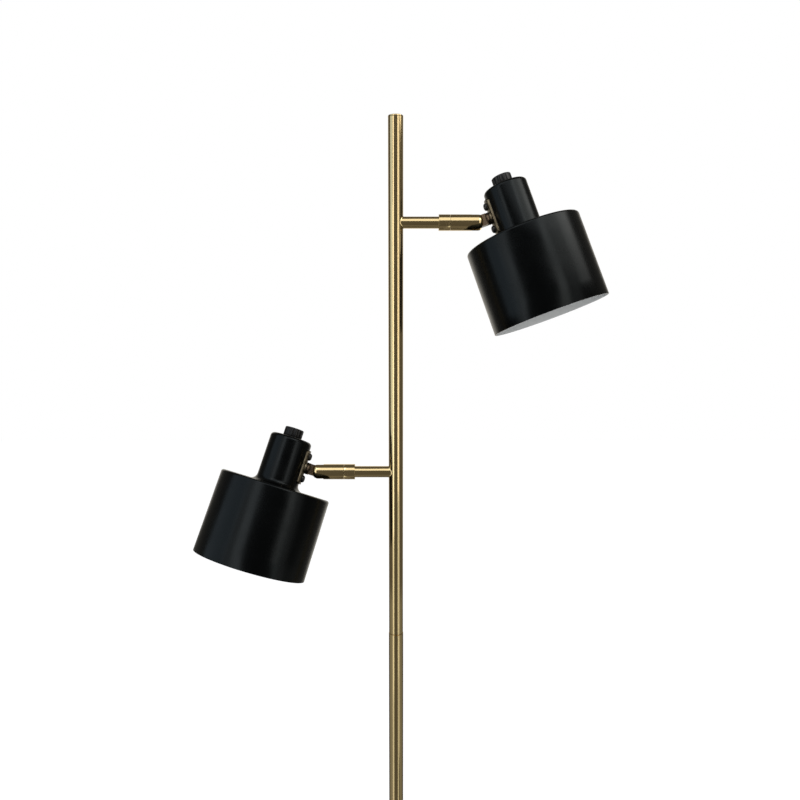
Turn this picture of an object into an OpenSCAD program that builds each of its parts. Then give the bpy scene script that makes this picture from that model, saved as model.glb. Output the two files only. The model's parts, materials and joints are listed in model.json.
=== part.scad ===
// Two-head floor lamp: weighted round base, three-piece brass pole, two fixed
// arms, and on each arm a spot head that swivels, tilts and has its own switch.
// Units are millimetres, +Z is up. The origin is the centre of the felt's underside,
// on the pole's axis. The upper head is on the +X side and the lower one on the -X side.

/* [Stand] */
// Height of the pole's top above the floor
total_h = 1550; // [1400:10:1800]
// Diameter of the base
base_d = 250; // [220:5:320]
// Height of the base with its felt
base_h = 20; // [19.5:0.5:28]
// Outside diameter of the pole's top tube
pole_d = 16; // [15:0.2:20]
// Wall of the top tube
pole_wall = 1; // [0.8:0.1:1.4]
// Outside diameter of the two lower tubes, which have the top tube's bore
low_tube_d = 16.6; // [15:0.2:21]
// Length of the top tube, which carries both arms
top_tube_len = 568; // [500:1:640]
// Thickness of the spun sheet of the base cover
cover_wall = 1.2; // [0.8:0.1:1.6]
// Thickness of the felt
felt_t = 2; // [1.5:0.1:2.5]

/* [Arms] */
// From the pole's top down to the upper arm's axis
upper_arm_drop = 108.4; // [80:0.2:160]
// Between the axes of the two arms
arm_gap = 270.4; // [240:0.2:320]
// From the pole's axis to the swivel collar
arm_reach = 45.5; // [35:0.5:90]
// Diameter of the arm's tube
arm_d = 12.5; // [12:0.1:13.2]
// Wall of the arm's tube
arm_wall = 1; // [0.8:0.1:1.2]
// Diameter of the swivel collar and barrel
swivel_d = 17; // [16.8:0.1:20]
// Length of the swivel collar
collar_len = 12; // [11:0.5:16]
// Length of the swivel barrel
barrel_len = 34.6; // [32:0.2:45]
// From the barrel's nose back to the tilt pin
pin_set = 5.4; // [5:0.1:5.7]
// Furthest turn of a head about its arm, to each side of upright, in degrees
swivel_stop = 165; // [120:1:168]

/* [Heads] */
// Diameter of the shade at its rim
shade_d = 124.4; // [110:0.2:150]
// Diameter of the shade at its top
shade_top_d = 123.2; // [108:0.2:150]
// Depth of the shade, from its top to its rim
shade_h = 91; // [75:1:120]
// Thickness of the shade's spun metal
shade_wall = 1.2; // [0.8:0.1:1.5]
// Diameter of the neck
neck_d = 47; // [46:0.5:56]
// Height of the neck above the shade's top
neck_h = 55.4; // [54:0.2:70]
// From the shade's top up to the tilt pin and the saddle's middle
pin_rise = 27.6; // [27:0.2:32]
// Diameter of the switch knob
knob_d = 21.2; // [20:0.2:26]
// Height of the switch knob's top above the neck
knob_h = 10.6; // [9:0.2:14]
// Number of flutes round the knob
knob_flutes = 14; // [8:1:20]

/* [Bracket] */
// Length of the saddle plate
saddle_len = 38.4; // [36:0.2:44]
// Width of the saddle plate
saddle_w = 16; // [14:0.5:20]
// Thickness of the saddle plate
saddle_t = 2; // [1.5:0.1:3]
// Between the two saddle screws
screw_pitch = 25.2; // [24:0.2:28]

/* [Pose] */
// Turn of the upper head about its arm, in degrees
upper_swivel = -9.3; // [-90:0.1:90]
// Turn of the lower head about its arm, in degrees
lower_swivel = 17.8; // [-90:0.1:90]
// Tilt of the upper head's mouth away from the pole, in degrees
upper_tilt = 19.6; // [-20:0.1:85]
// Tilt of the lower head's mouth away from the pole, in degrees
lower_tilt = 17; // [-20:0.1:85]

/* [Hidden] */
$fn = 64;

// Clearances
moving_gap = 0.35;   // between faces that move past each other
cheek_gap = 0.3;     // between the knuckle's tongue and each cheek of its fork
running_gap = 0.05;  // a shaft in its bearing, on the radius
thread_gap = 0.05;   // a screw in its thread, on the radius
easy_gap = 0.3;      // round a piece that only has to go in, on the radius
cut = 1;             // how far a cutting shape runs past a face

// Base
weight_gap = 1;
weight_d = base_d - 2 * (cover_wall + weight_gap);
weight_top = base_h - cover_wall;
felt_inset = 2;
rim_w = 26;
web_t = 5;
web_z = weight_top - web_t;
rib_w = 8;
rib_count = 6;
boss_r = 24;
cover_edge_r = 6;
cover_lift = felt_t + 0.5;
bush_bore = 6;
bush_neck_d = 8;
bush_flange_d = 10;
bush_flange_t = 1.4;
bush_chamfer = 0.5;
bush_z = (cover_lift + web_z) / 2;
block_w = 16;
block_len = 18;
block_y = 48;
block_z = felt_t + 0.6;
block_screw_d = 3;
block_screw_depth = 2;

// Wiring
lead_d = 3.2;
lead_pitch = lead_d + 0.4;
lead_way = 2 * lead_d + 1.6;
base_lead_z = felt_t + lead_d / 2 + 1.4;
base_bend = 4;
arm_bend = 8;
head_lead_d = 2.4;
head_bend = 2.2;

// Fixings of the base and the pole
nipple_d = 10;
nipple_bore = 2 * lead_d + 0.8;
nipple_end = 0.4;
nipple_hole_d = nipple_d + 2 * easy_gap;
nut_af = 14;
nut_t = 3;
washer_t = 1.2;
washer_d = 28;
collar_floor = 2;
foot_collar_h = 9;
foot_collar_d = low_tube_d + 13.4;
foot_round = 3.5;
foot_z = base_h + collar_floor;
tube_bore = pole_d - 2 * pole_wall;
top_joint_z = total_h - top_tube_len;
low_joint_z = (top_joint_z + foot_z) / 2;
seam_chamfer = 0.4;
cap_t = 1.5;
cap_round = 0.8;
cap_plug_len = 10;
insert_len = 18;
joiner_thread_d = tube_bore - 2;
joiner_thread_len = 14;
joiner_press_len = 20;

// Swivels
collar_wall = 3;
swivel_gap = 0.3;
post_d = 10;
post_bore = 6;
post_thread_len = 8;
post_flange_t = 2;
post_flange_d = arm_d - 2 * moving_gap;
friction_washer_t = 0.8;
collar_end = arm_reach + collar_len;
collar_wall_x = collar_end - collar_wall;
washer_x = collar_wall_x - moving_gap - friction_washer_t;
arm_end = washer_x - post_flange_t - moving_gap;
barrel_x = collar_end + swivel_gap;
nose_x = barrel_x + barrel_len;
pin_x = nose_x - pin_set;
edge_chamfer = 0.35;
nose_r = 5;
lug_d = 1.5;
lug_len = 1.2;
lug_r = (post_d + swivel_d) / 4;

// Tilt knuckle
slot_w = 8;
eye_r = 6;
slot_x = pin_x - eye_r - 2 * easy_gap;
pin_d = 4;
pin_end_wall = 1.1;
pivot_head_d = 7;
pivot_head_t = 1.8;
pivot_head_sink = 0.2;
pivot_slot = 1;
tongue_len = 9.4;
tongue_w = slot_w - 2 * cheek_gap;
stud_flange_t = 2.7;
stud_flange_r = 6.5;
stud_chamfer = 0.5;
stud_washer_t = 1;
stud_washer_d = 13.4;
stud_d = 8;
stud_bore = 4;
stud_hole_d = stud_d + 0.2;
lead_exit_x = tongue_len - stud_bore / 2 - 0.4;
stud_nut_af = 13;
stud_nut_t = 2.5;

// Bracket
saddle_boss = 1;
saddle_boss_d = 12.8;
saddle_corner = 3;
seat_r = neck_d / 2 + saddle_t + saddle_boss;
seat_x = tongue_len + stud_flange_t + stud_washer_t;
axis_x = seat_x + seat_r;
neck_bore_r = neck_d / 2 - shade_wall;
backing_t = 2.7;
backing_r = neck_bore_r - backing_t;
backing_len = saddle_len - 4.4;
backing_corner = 2;
stud_end_r = backing_r - stud_nut_t + 0.2;
screw_d = 4;
screw_hole_d = screw_d + 0.4;
screw_head_d = 8;
screw_head_t = 3;
screw_round = 2.2;
screw_seat = 0.3;
screw_seat_d = screw_head_d + 2 * easy_gap;
screw_len = saddle_t + shade_wall + backing_t + 1;
recess_w = 0.9;
recess_span = 4.4;
recess_depth = 1.5;

// Shade
shoulder_r = 2.5;
fillet_r = 7;
neck_edge_r = 4;
roof_z = neck_h - shade_wall;

// Lampholder
housing_r = 13;
housing_z = 20;
housing_chamfer = 0.8;
bushing_d = 10;
bushing_hole_d = bushing_d + 0.4;
bushing_flange_d = 14;
bushing_flange_t = 3;
bushing_sink = 5;
bushing_nut_t = nut_t - 0.4;
socket_r = 17.5;
socket_mouth = -12;
socket_depth = 28;
socket_top_t = 2;
socket_floor = socket_mouth + socket_depth;
shell_bore_r = 13.3;
shell_wall = 0.5;
shell_len = 19.4;
shell_z = socket_mouth + 1.5;
strip_t = 0.6;
strip_w = 7;
strip_drop = 4;
terminal_depth = 3;
terminal_z = neck_h - 8.4;

// Switch
shaft_d = 6;
shaft_flat = 1.2;
shaft_foot = 6;
knob_gap = 0.4;
knob_round = 1.2;
knob_cavity_d = nut_af / cos(30) + 4 * easy_gap;
knob_cavity_h = nut_t + 0.4;
knob_roof_t = 1.6;
flute_r = 1.5;
flute_depth = 0.9;

// Colours
brass = [0.72, 0.60, 0.36];
bronze = [0.36, 0.29, 0.22];
black = [0.05, 0.05, 0.06];
steel = [0.62, 0.62, 0.64];
iron = [0.25, 0.25, 0.26];
felt = [0.14, 0.14, 0.15];
nickel = [0.75, 0.72, 0.62];
cream = [0.86, 0.85, 0.80];

// Places ---------------------------------------------------------------

function arm_z(side) = total_h - upper_arm_drop - (side == "upper" ? 0 : arm_gap);
function arm_heading(side) = side == "upper" ? 0 : 180;
function swivel_of(side) = side == "upper" ? upper_swivel : lower_swivel;
function tilt_of(side) = side == "upper" ? upper_tilt : lower_tilt;
// +1 where the lamp's back lies towards the arm's own +Y, -1 where it doesn't
function back_of(side) = side == "upper" ? 1 : -1;

// The arm's own frame: x runs out from the pole's axis along the arm.
module at_arm(side) {
  translate([0, 0, arm_z(side)]) rotate([0, 0, arm_heading(side)]) children();
}

// The same frame, turned about the arm with the barrel.
module at_swivel(side) {
  at_arm(side) rotate([swivel_of(side), 0, 0]) children();
}

// The tilting frame: its origin is on the tilt pin.
module at_pin(side) {
  at_swivel(side) translate([pin_x, 0, 0]) rotate([0, -tilt_of(side), 0]) children();
}

// The head's frame: z is the shade's axis, and z = 0 is the shade's top.
module at_head(side) {
  at_pin(side) translate([axis_x, 0, -pin_rise]) children();
}

// Shapes ---------------------------------------------------------------

// Points of an arc about [x, y], from angle a to angle b.
function arc(x, y, r, a, b, n = 10) = [
  for (i = [0:n]) let (t = a + (b - a) * i / n) [x + r * cos(t), y + r * sin(t)]
];
function reverse(list) = [for (i = [len(list) - 1:-1:0]) list[i]];

module rod(d, from, to) {
  translate([0, 0, from]) cylinder(d = d, h = to - from);
}

module pipe(outer, inner, from, to) {
  difference() {
    rod(outer, from, to);
    rod(inner, from - cut, to + cut);
  }
}

// Children are drawn up their own z and laid along x.
module along_x() {
  rotate([0, 90, 0]) children();
}

// Children are drawn up their own z and laid from the head's axis out to the saddle.
module towards_saddle() {
  translate([0, 0, pin_rise]) rotate([0, -90, 0]) children();
}

module hexagon(af, from, to) {
  translate([0, 0, from]) cylinder(d = af / cos(30), h = to - from, $fn = 6);
}

// A turned bar with both end corners broken.
module turned_bar(d, from, to, chamfer) {
  translate([0, 0, from]) rotate_extrude() polygon([
    [0, 0],
    [d / 2 - chamfer, 0],
    [d / 2, chamfer],
    [d / 2, to - from - chamfer],
    [d / 2 - chamfer, to - from],
    [0, to - from]
  ]);
}

// A quarter turn of wire, from the origin up z and over towards +x.
module quarter_bend(d, bend) {
  translate([bend, 0, 0]) rotate([90, 0, 180]) rotate_extrude(angle = 90) translate([bend, 0]) circle(d = d);
}

// Base -----------------------------------------------------------------

module felt_pad() color(felt) {
  rod(weight_d - 2 * felt_inset, 0, felt_t);
}

module weight_blank() {
  top_bevel = cover_edge_r - cover_wall;
  rotate_extrude() polygon([
    [0, felt_t],
    [weight_d / 2, felt_t],
    [weight_d / 2, weight_top - top_bevel],
    [weight_d / 2 - top_bevel, weight_top],
    [0, weight_top]
  ]);
}

// The casting is hollow beneath, with spokes left between the rim and the middle.
module base_weight() color(iron) {
  hollow_r = weight_d / 2 - rim_w;
  channel_w = bush_flange_d + 2 * easy_gap;
  difference() {
    weight_blank();
    difference() {
      rod(2 * hollow_r, felt_t - cut, web_z);
      for (i = [0:rib_count - 1]) {
        rotate([0, 0, i * 360 / rib_count])
          translate([boss_r, -rib_w / 2, felt_t - 2 * cut]) cube([hollow_r, rib_w, web_z]);
      }
    }
    rod(nipple_hole_d, web_z - cut, weight_top + cut);
    translate([-channel_w / 2, hollow_r - cut, felt_t - cut])
      cube([channel_w, rim_w + 2 * cut, web_z - felt_t + cut]);
  }
}

// The cover's line, t inside its outer face, from its lower edge to the middle of its top.
function dish_line(t) = concat(
  [[base_d / 2 - t, cover_lift]],
  arc(base_d / 2 - cover_edge_r, base_h - cover_edge_r, cover_edge_r - t, 0, 90),
  [[0, base_h - t]]
);

// Children are drawn up their own z and laid towards the lamp's back at the cord's height.
module towards_outlet() {
  translate([0, 0, bush_z]) rotate([-90, 0, 0]) children();
}

module base_cover() color(black) {
  difference() {
    rotate_extrude() polygon(concat(dish_line(0), reverse(dish_line(cover_wall))));
    rod(nipple_hole_d, base_h - cover_wall - cut, base_h + cut);
    towards_outlet() rod(bush_neck_d, base_d / 2 - cover_wall - cut, base_d / 2 + cut);
  }
}

// The plain outlet where the supply cord, which isn't part of this model, leaves the base.
module cord_bush() color(black) {
  from_y = base_d / 2 - cover_wall - bush_flange_t;
  to_y = base_d / 2 + bush_flange_t;
  difference() {
    union() {
      towards_outlet() rod(bush_neck_d, from_y, base_d / 2);
      difference() {
        towards_outlet() turned_bar(bush_flange_d, from_y, to_y, bush_chamfer);
        pipe(base_d, base_d - 2 * cover_wall - bush_chamfer, 0, base_h);
      }
    }
    towards_outlet() rod(bush_bore, from_y - cut, to_y + cut);
  }
}

// The connector under the casting, where both heads' leads meet the supply.
module terminal_block() color(cream) {
  difference() {
    translate([-block_w / 2, block_y, block_z]) cube([block_w, block_len, web_z - block_z]);
    for (x = [-1, 1]) {
      translate([x * lead_pitch / 2, 0, base_lead_z]) rotate([-90, 0, 0])
        rod(lead_d + 0.2, block_y - cut, block_y + block_len + cut);
      translate([x * block_w / 4, block_y + block_len / 2, block_z])
        rod(block_screw_d, -cut, block_screw_depth);
    }
  }
}

module base_washer() color(steel) {
  pipe(washer_d, nipple_hole_d, web_z - washer_t, web_z);
}

module base_nut() color(steel) {
  difference() {
    hexagon(nut_af, web_z - washer_t - nut_t, web_z - washer_t);
    rod(nipple_d + 2 * thread_gap, 0, base_h);
  }
}

module base_nipple() color(steel) {
  pipe(nipple_d, nipple_bore, web_z - washer_t - nut_t - nipple_end, foot_z + insert_len - seam_chamfer);
}

module foot_collar() color(brass) {
  difference() {
    translate([0, 0, base_h]) rotate_extrude() polygon(concat(
      [[0, 0], [foot_collar_d / 2, 0]],
      arc(foot_collar_d / 2 - foot_round, foot_collar_h - foot_round, foot_round, 0, 90),
      [[0, foot_collar_h]]
    ));
    rod(low_tube_d + 2 * running_gap, foot_z, base_h + foot_collar_h + cut);
    rod(nipple_hole_d, base_h - cut, foot_z + cut);
  }
}

// Pole -----------------------------------------------------------------

// Tubes meet at seams whose outer corners are broken.
module pole_tube(d, from, to) {
  difference() {
    turned_bar(d, from, to, seam_chamfer);
    rod(tube_bore, from - cut, to + cut);
  }
}

module bottom_tube() color(brass) pole_tube(low_tube_d, foot_z, low_joint_z);

module middle_tube() color(brass) pole_tube(low_tube_d, low_joint_z, top_joint_z);

module top_tube() color(brass) {
  difference() {
    pole_tube(pole_d, top_joint_z, total_h - cap_t);
    for (side = ["upper", "lower"]) {
      at_arm(side) along_x() rod(arm_d - 2 * arm_wall, 0, pole_d);
    }
  }
}

module pole_cap() color(brass) {
  plug_z = -cap_t - cap_plug_len;
  translate([0, 0, total_h]) rotate_extrude() polygon(concat(
    [[0, plug_z], [tube_bore / 2, plug_z], [tube_bore / 2, -cap_t], [pole_d / 2, -cap_t]],
    arc(pole_d / 2 - cap_round, -cap_round, cap_round, 0, 90, 6),
    [[0, 0]]
  ));
}

// Threaded bushes pressed into the lower end of each tube.
module pole_inserts() color(brass) {
  pipe(tube_bore, nipple_d + 2 * thread_gap, foot_z, foot_z + insert_len);
  for (z = [low_joint_z, top_joint_z]) {
    pipe(tube_bore, joiner_thread_d + 2 * thread_gap, z, z + insert_len);
  }
}

// Threaded studs pressed into the upper end of the two lower tubes.
module pole_joiners() color(steel) {
  for (z = [low_joint_z, top_joint_z]) {
    difference() {
      union() {
        rod(tube_bore, z - joiner_press_len, z);
        rod(joiner_thread_d, z, z + joiner_thread_len);
      }
      rod(lead_way, z - joiner_press_len - cut, z + joiner_thread_len + cut);
    }
  }
}

// One lead for each head: from the terminal block, up the pole, out along the arm.
module lead(side) {
  x = lead_pitch / 2;
  up_from = base_lead_z + base_bend;
  up_to = arm_z(side) - arm_bend;
  rotate([0, 0, arm_heading(side)]) {
    translate([x, 0, 0]) rod(lead_d, up_from, up_to);
    translate([x, 0, up_to]) quarter_bend(lead_d, arm_bend);
    translate([x, 0, up_from]) rotate([180, 0, back_of(side) * 90]) quarter_bend(lead_d, base_bend);
    translate([x, 0, base_lead_z]) rotate([back_of(side) * -90, 0, 0])
      rod(lead_d, base_bend, block_y + block_len / 2);
  }
  at_arm(side) along_x() rod(lead_d, x + arm_bend, slot_x - cut);
}

module pole_leads() color(black) {
  for (side = ["upper", "lower"]) lead(side);
}

// Arms and swivels -----------------------------------------------------

// The tube's inner end is coped to sit on the round pole, where it is brazed.
module arm(side) color(brass) {
  at_arm(side) difference() {
    along_x() pipe(arm_d, arm_d - 2 * arm_wall, 0, arm_end);
    rod(pole_d, -arm_d, arm_d);
  }
}

// The collar on the arm's end. A curved groove in its face stops the barrel's lug.
module collar(side) color(brass) {
  groove_w = lug_d + 2 * moving_gap;
  sweep = 2 * (swivel_stop + asin(groove_w / 2 / lug_r));
  at_arm(side) difference() {
    along_x() turned_bar(swivel_d, arm_reach, collar_end, edge_chamfer);
    along_x() rod(arm_d, arm_reach - cut, collar_wall_x);
    along_x() rod(post_d + 2 * running_gap, collar_wall_x - cut, collar_end + cut);
    translate([collar_end - lug_len, 0, 0]) along_x() rotate([0, 0, 180 - sweep / 2])
      rotate_extrude(angle = sweep) translate([lug_r - groove_w / 2, 0]) square([groove_w, lug_len + cut]);
  }
}

module barrel_blank() {
  r = swivel_d / 2;
  rotate_extrude() polygon(concat(
    [[0, 0], [r - edge_chamfer, 0], [r, edge_chamfer]],
    arc(r - nose_r, barrel_len - nose_r, nose_r, 0, 90),
    [[0, barrel_len]]
  ));
}

// Children are drawn up their own z, laid across the fork and out through the lamp's back.
module across_fork(side) {
  translate([pin_x, 0, 0]) rotate([-90 * back_of(side), 0, 0]) children();
}

// The barrel screws onto the post. Its nose is slotted into a fork for the tilt knuckle.
module barrel(side) color(brass) {
  head_seat = swivel_d / 2 - pivot_head_t - pivot_head_sink;
  at_swivel(side) {
    difference() {
      translate([barrel_x, 0, 0]) along_x() barrel_blank();
      along_x() rod(post_d + 2 * thread_gap, barrel_x - cut, barrel_x + post_thread_len);
      along_x() rod(post_bore, barrel_x, slot_x + cut);
      translate([slot_x, -slot_w / 2, -swivel_d]) cube([swivel_d, slot_w, 2 * swivel_d]);
      across_fork(side) rod(pin_d, pin_end_wall - swivel_d / 2, head_seat + cut);
      across_fork(side) rod(pivot_head_d + easy_gap, head_seat, swivel_d);
    }
    translate([0, 0, lug_r]) along_x() rod(lug_d, barrel_x - lug_len, barrel_x + cut);
  }
}

// The hollow post is put through the collar from behind and screwed into the barrel.
module swivel_post(side) color(steel) {
  flange_x = washer_x - post_flange_t;
  at_swivel(side) along_x() difference() {
    union() {
      rod(post_flange_d, flange_x, washer_x);
      rod(post_d, washer_x, barrel_x + post_thread_len - swivel_gap);
    }
    rod(post_bore, flange_x - cut, nose_x);
  }
}

module friction_washer(side) color(steel) {
  at_swivel(side) along_x()
    pipe(post_flange_d, post_d + 2 * running_gap, washer_x, washer_x + friction_washer_t);
}

// The tilt pin is a shouldered screw, put in from the lamp's back.
module pivot_screw(side) color(brass) {
  head_y = swivel_d / 2 - pivot_head_t - pivot_head_sink;
  head_end = head_y + pivot_head_t;
  at_swivel(side) across_fork(side) difference() {
    union() {
      rod(pin_d, pin_end_wall + pivot_head_sink - swivel_d / 2, head_y);
      turned_bar(pivot_head_d, head_y, head_end, edge_chamfer);
    }
    translate([-pivot_head_d, -pivot_slot / 2, head_end - pivot_slot])
      cube([2 * pivot_head_d, pivot_slot, 2 * pivot_slot]);
  }
}

// Tilt knuckle and bracket ---------------------------------------------

// The stud's tongue turns in the fork. Its hollow shank goes through saddle, neck and backing plate.
module knuckle_stud(side) color(bronze) {
  shank_end = axis_x - stud_end_r;
  at_pin(side) difference() {
    union() {
      rotate([90, 0, 0]) rod(2 * eye_r, -tongue_w / 2, tongue_w / 2);
      translate([0, -tongue_w / 2, -eye_r]) cube([tongue_len + stud_chamfer, tongue_w, 2 * eye_r]);
      along_x() turned_bar(2 * stud_flange_r, tongue_len, tongue_len + stud_flange_t, stud_chamfer);
      along_x() rod(stud_d, tongue_len, shank_end);
    }
    rotate([90, 0, 0]) rod(pin_d + 2 * running_gap, -tongue_w, tongue_w);
    along_x() rod(stud_bore, lead_exit_x, shank_end + cut);
    translate([lead_exit_x, 0, 0]) rod(stud_bore, 0, 2 * eye_r);
  }
}

module stud_washer(side) color(brass) {
  at_pin(side) along_x() pipe(stud_washer_d, stud_hole_d, seat_x - stud_washer_t, seat_x);
}

module stud_nut(side) color(steel) {
  at_head(side) towards_saddle() difference() {
    hexagon(stud_nut_af, backing_r - stud_nut_t, backing_r);
    rod(stud_d + 2 * thread_gap, 0, neck_d);
  }
}

// A flat plate with round corners, seen from the saddle's side.
module round_plate(length, width, corner, from, to) {
  translate([0, 0, from]) linear_extrude(to - from) {
    square([length - 2 * corner, width], center = true);
    square([length, width - 2 * corner], center = true);
    for (x = [-1, 1], y = [-1, 1]) {
      translate([x * (length / 2 - corner), y * (width / 2 - corner)]) circle(corner);
    }
  }
}

// Children are repeated at the places of the two saddle screws.
module at_screws() {
  for (x = [-1, 1]) {
    translate([x * screw_pitch / 2, 0, 0]) children();
  }
}

// Holes for the two screws and the stud, drilled from outside towards the head's axis.
module bracket_holes(hole_d) {
  towards_saddle() {
    rod(stud_hole_d, backing_r - cut, neck_d);
    at_screws() rod(hole_d, backing_r - cut, neck_d);
  }
}

// The strip is pressed to the neck's curve, with a raised flat for the stud.
module saddle_plate(side) color(brass) {
  plate_r = neck_d / 2 + saddle_t;
  at_head(side) difference() {
    union() {
      intersection() {
        pipe(2 * plate_r, neck_d, 0, neck_h);
        towards_saddle() round_plate(saddle_len, saddle_w, saddle_corner, neck_d / 4, neck_d);
      }
      difference() {
        towards_saddle() rod(saddle_boss_d, neck_d / 4, seat_r);
        rod(neck_d + saddle_t, -cut, neck_h);
      }
    }
    bracket_holes(screw_hole_d);
    towards_saddle() at_screws() rod(screw_seat_d, plate_r - screw_seat, neck_d);
  }
}

module pan_head_screw(seat) {
  edge = arc(screw_head_d / 2 - screw_round, screw_head_t - screw_round, screw_round, 0, 90, 8);
  head = concat([[0, 0], [screw_head_d / 2, 0]], edge, [[0, screw_head_t]]);
  difference() {
    union() {
      rod(screw_d, seat - screw_len, seat + cut);
      translate([0, 0, seat]) rotate_extrude() polygon(head);
    }
    for (a = [45, 135]) {
      rotate([0, 0, a]) translate([-recess_span / 2, -recess_w / 2, seat + screw_head_t - recess_depth])
        cube([recess_span, recess_w, recess_depth + cut]);
    }
  }
}

module saddle_screws(side) color(black) {
  at_head(side) towards_saddle() at_screws() pan_head_screw(neck_d / 2 + saddle_t - screw_seat);
}

// The tapped plate inside the neck: its outer side follows the neck and its inner side is flat.
module backing_plate(side) color(steel) {
  at_head(side) difference() {
    intersection() {
      rod(2 * neck_bore_r, 0, neck_h);
      towards_saddle() round_plate(backing_len, saddle_w, backing_corner, backing_r, neck_d / 2);
    }
    bracket_holes(screw_d + 2 * thread_gap);
  }
}

// Head -----------------------------------------------------------------

// The shade's spun line, t inside its outer face, from the rim up to the hole in the neck's top.
function spun_line(t) = concat(
  [[shade_d / 2 - t, -shade_h]],
  arc(shade_top_d / 2 - shoulder_r, -shoulder_r, shoulder_r - t, 0, 90),
  arc(neck_d / 2 + fillet_r, fillet_r, fillet_r + t, 270, 180),
  arc(neck_d / 2 - neck_edge_r, neck_h - neck_edge_r, neck_edge_r - t, 0, 90),
  [[bushing_hole_d / 2, neck_h - t]]
);

// Skirt, top, fillet and neck are one spun piece of even wall.
module shade(side) color(black) {
  at_head(side) difference() {
    rotate_extrude($fn = 96) polygon(concat(spun_line(0), reverse(spun_line(shade_wall))));
    bracket_holes(screw_hole_d);
  }
}

// Upper half of the lampholder, which holds the rotary switch. Its top clamps to the neck.
module switch_housing(side) color(black) {
  flange_top = roof_z - bushing_sink;
  flange_z = flange_top - bushing_flange_t;
  at_head(side) difference() {
    union() {
      turned_bar(2 * housing_r, socket_floor, roof_z, housing_chamfer);
      rod(2 * socket_r, socket_floor, housing_z - socket_top_t);
    }
    rod(bushing_flange_d, flange_z, flange_top);
    rod(bushing_d, flange_top - cut, roof_z + cut);
    rod(shaft_d + 2 * cut, housing_z + 2 * cut, flange_z + cut);
    translate([0, 0, terminal_z]) rotate([0, -90, 0])
      rod(head_lead_d + 0.2, housing_r - terminal_depth, housing_r + cut);
  }
}

module switch_bushing(side) color(nickel) {
  flange_top = roof_z - bushing_sink;
  flange_z = flange_top - bushing_flange_t;
  at_head(side) difference() {
    union() {
      rod(bushing_flange_d, flange_z, flange_top);
      rod(bushing_d, flange_z, neck_h + nut_t);
    }
    rod(shaft_d + 2 * running_gap, flange_z - cut, neck_h + nut_t + cut);
  }
}

module bushing_nut(side) color(nickel) {
  at_head(side) difference() {
    hexagon(nut_af, neck_h, neck_h + bushing_nut_t);
    rod(bushing_d + 2 * thread_gap, 0, neck_h + 2 * nut_t);
  }
}

// Lower half of the lampholder: a cup round the screw shell.
module socket_body(side) color(black) {
  at_head(side) difference() {
    turned_bar(2 * socket_r, socket_mouth, socket_floor, housing_chamfer);
    rod(2 * (shell_bore_r + shell_wall), socket_mouth - cut, socket_floor - socket_top_t);
  }
}

module socket_shell(side) color(nickel) {
  at_head(side) pipe(2 * (shell_bore_r + shell_wall), 2 * shell_bore_r, shell_z, shell_z + shell_len);
}

// A spring strip under the socket's roof, folded back below itself to meet the bulb.
module centre_contact(side) color(brass) {
  roof = socket_floor - socket_top_t;
  fixed_end = -9;
  fold = 3;
  free_end = -5;
  at_head(side) translate([0, -strip_w / 2, roof]) {
    translate([fixed_end, 0, -strip_t]) cube([fold - fixed_end, strip_w, strip_t]);
    translate([fold - strip_t, 0, -strip_drop]) cube([strip_t, strip_w, strip_drop]);
    translate([free_end, 0, -strip_drop - strip_t]) cube([fold - free_end, strip_w, strip_t]);
  }
}

// The lead in the head: out of the stud's bore, up the housing and into its terminal.
module head_lead(side) color(black) {
  bend_r = stud_end_r - easy_gap;
  up_r = bend_r - head_bend;
  at_head(side) {
    towards_saddle() rod(head_lead_d, bend_r, axis_x - lead_exit_x);
    translate([-bend_r, 0, pin_rise]) rotate([0, 90, 0]) mirror([1, 0, 0])
      quarter_bend(head_lead_d, head_bend);
    translate([-up_r, 0, 0]) rod(head_lead_d, pin_rise + head_bend, terminal_z - head_bend);
    translate([-up_r, 0, terminal_z - head_bend]) quarter_bend(head_lead_d, head_bend);
    translate([0, 0, terminal_z]) rotate([0, -90, 0])
      rod(head_lead_d, housing_r - terminal_depth + easy_gap, up_r - head_bend);
  }
}

// Switch ---------------------------------------------------------------

module knob_blank() {
  r = knob_d / 2;
  top_edge = arc(r - knob_round, knob_h - knob_round, knob_round, 0, 90, 6);
  rotate_extrude() polygon(concat([[0, knob_gap], [r, knob_gap]], top_edge, [[0, knob_h]]));
}

// A round shaft with, above flat_from, the flat that the knob grips.
module flatted_shaft(from, to, flat_from) {
  difference() {
    rod(shaft_d, from, to);
    translate([shaft_d / 2 - shaft_flat, -shaft_d, flat_from]) cube([shaft_d, 2 * shaft_d, to]);
  }
}

// The knob hides the nut in a hollow beneath, and grips the flatted shaft.
module knob(side) color(black) {
  flute_at = knob_d / 2 + flute_r - flute_depth;
  at_head(side) translate([0, 0, neck_h]) difference() {
    knob_blank();
    rod(knob_cavity_d, 0, knob_cavity_h);
    flatted_shaft(0, knob_h - knob_roof_t, knob_cavity_h);
    for (i = [0:knob_flutes - 1]) {
      rotate([0, 0, i * 360 / knob_flutes]) translate([flute_at, 0, 0]) rod(2 * flute_r, 0, knob_h + cut);
    }
  }
}

module switch_shaft(side) color(steel) {
  at_head(side) translate([0, 0, neck_h])
    flatted_shaft(housing_z + shaft_foot - neck_h, knob_h - knob_roof_t, knob_cavity_h);
}

// Nodes ----------------------------------------------------------------

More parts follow.
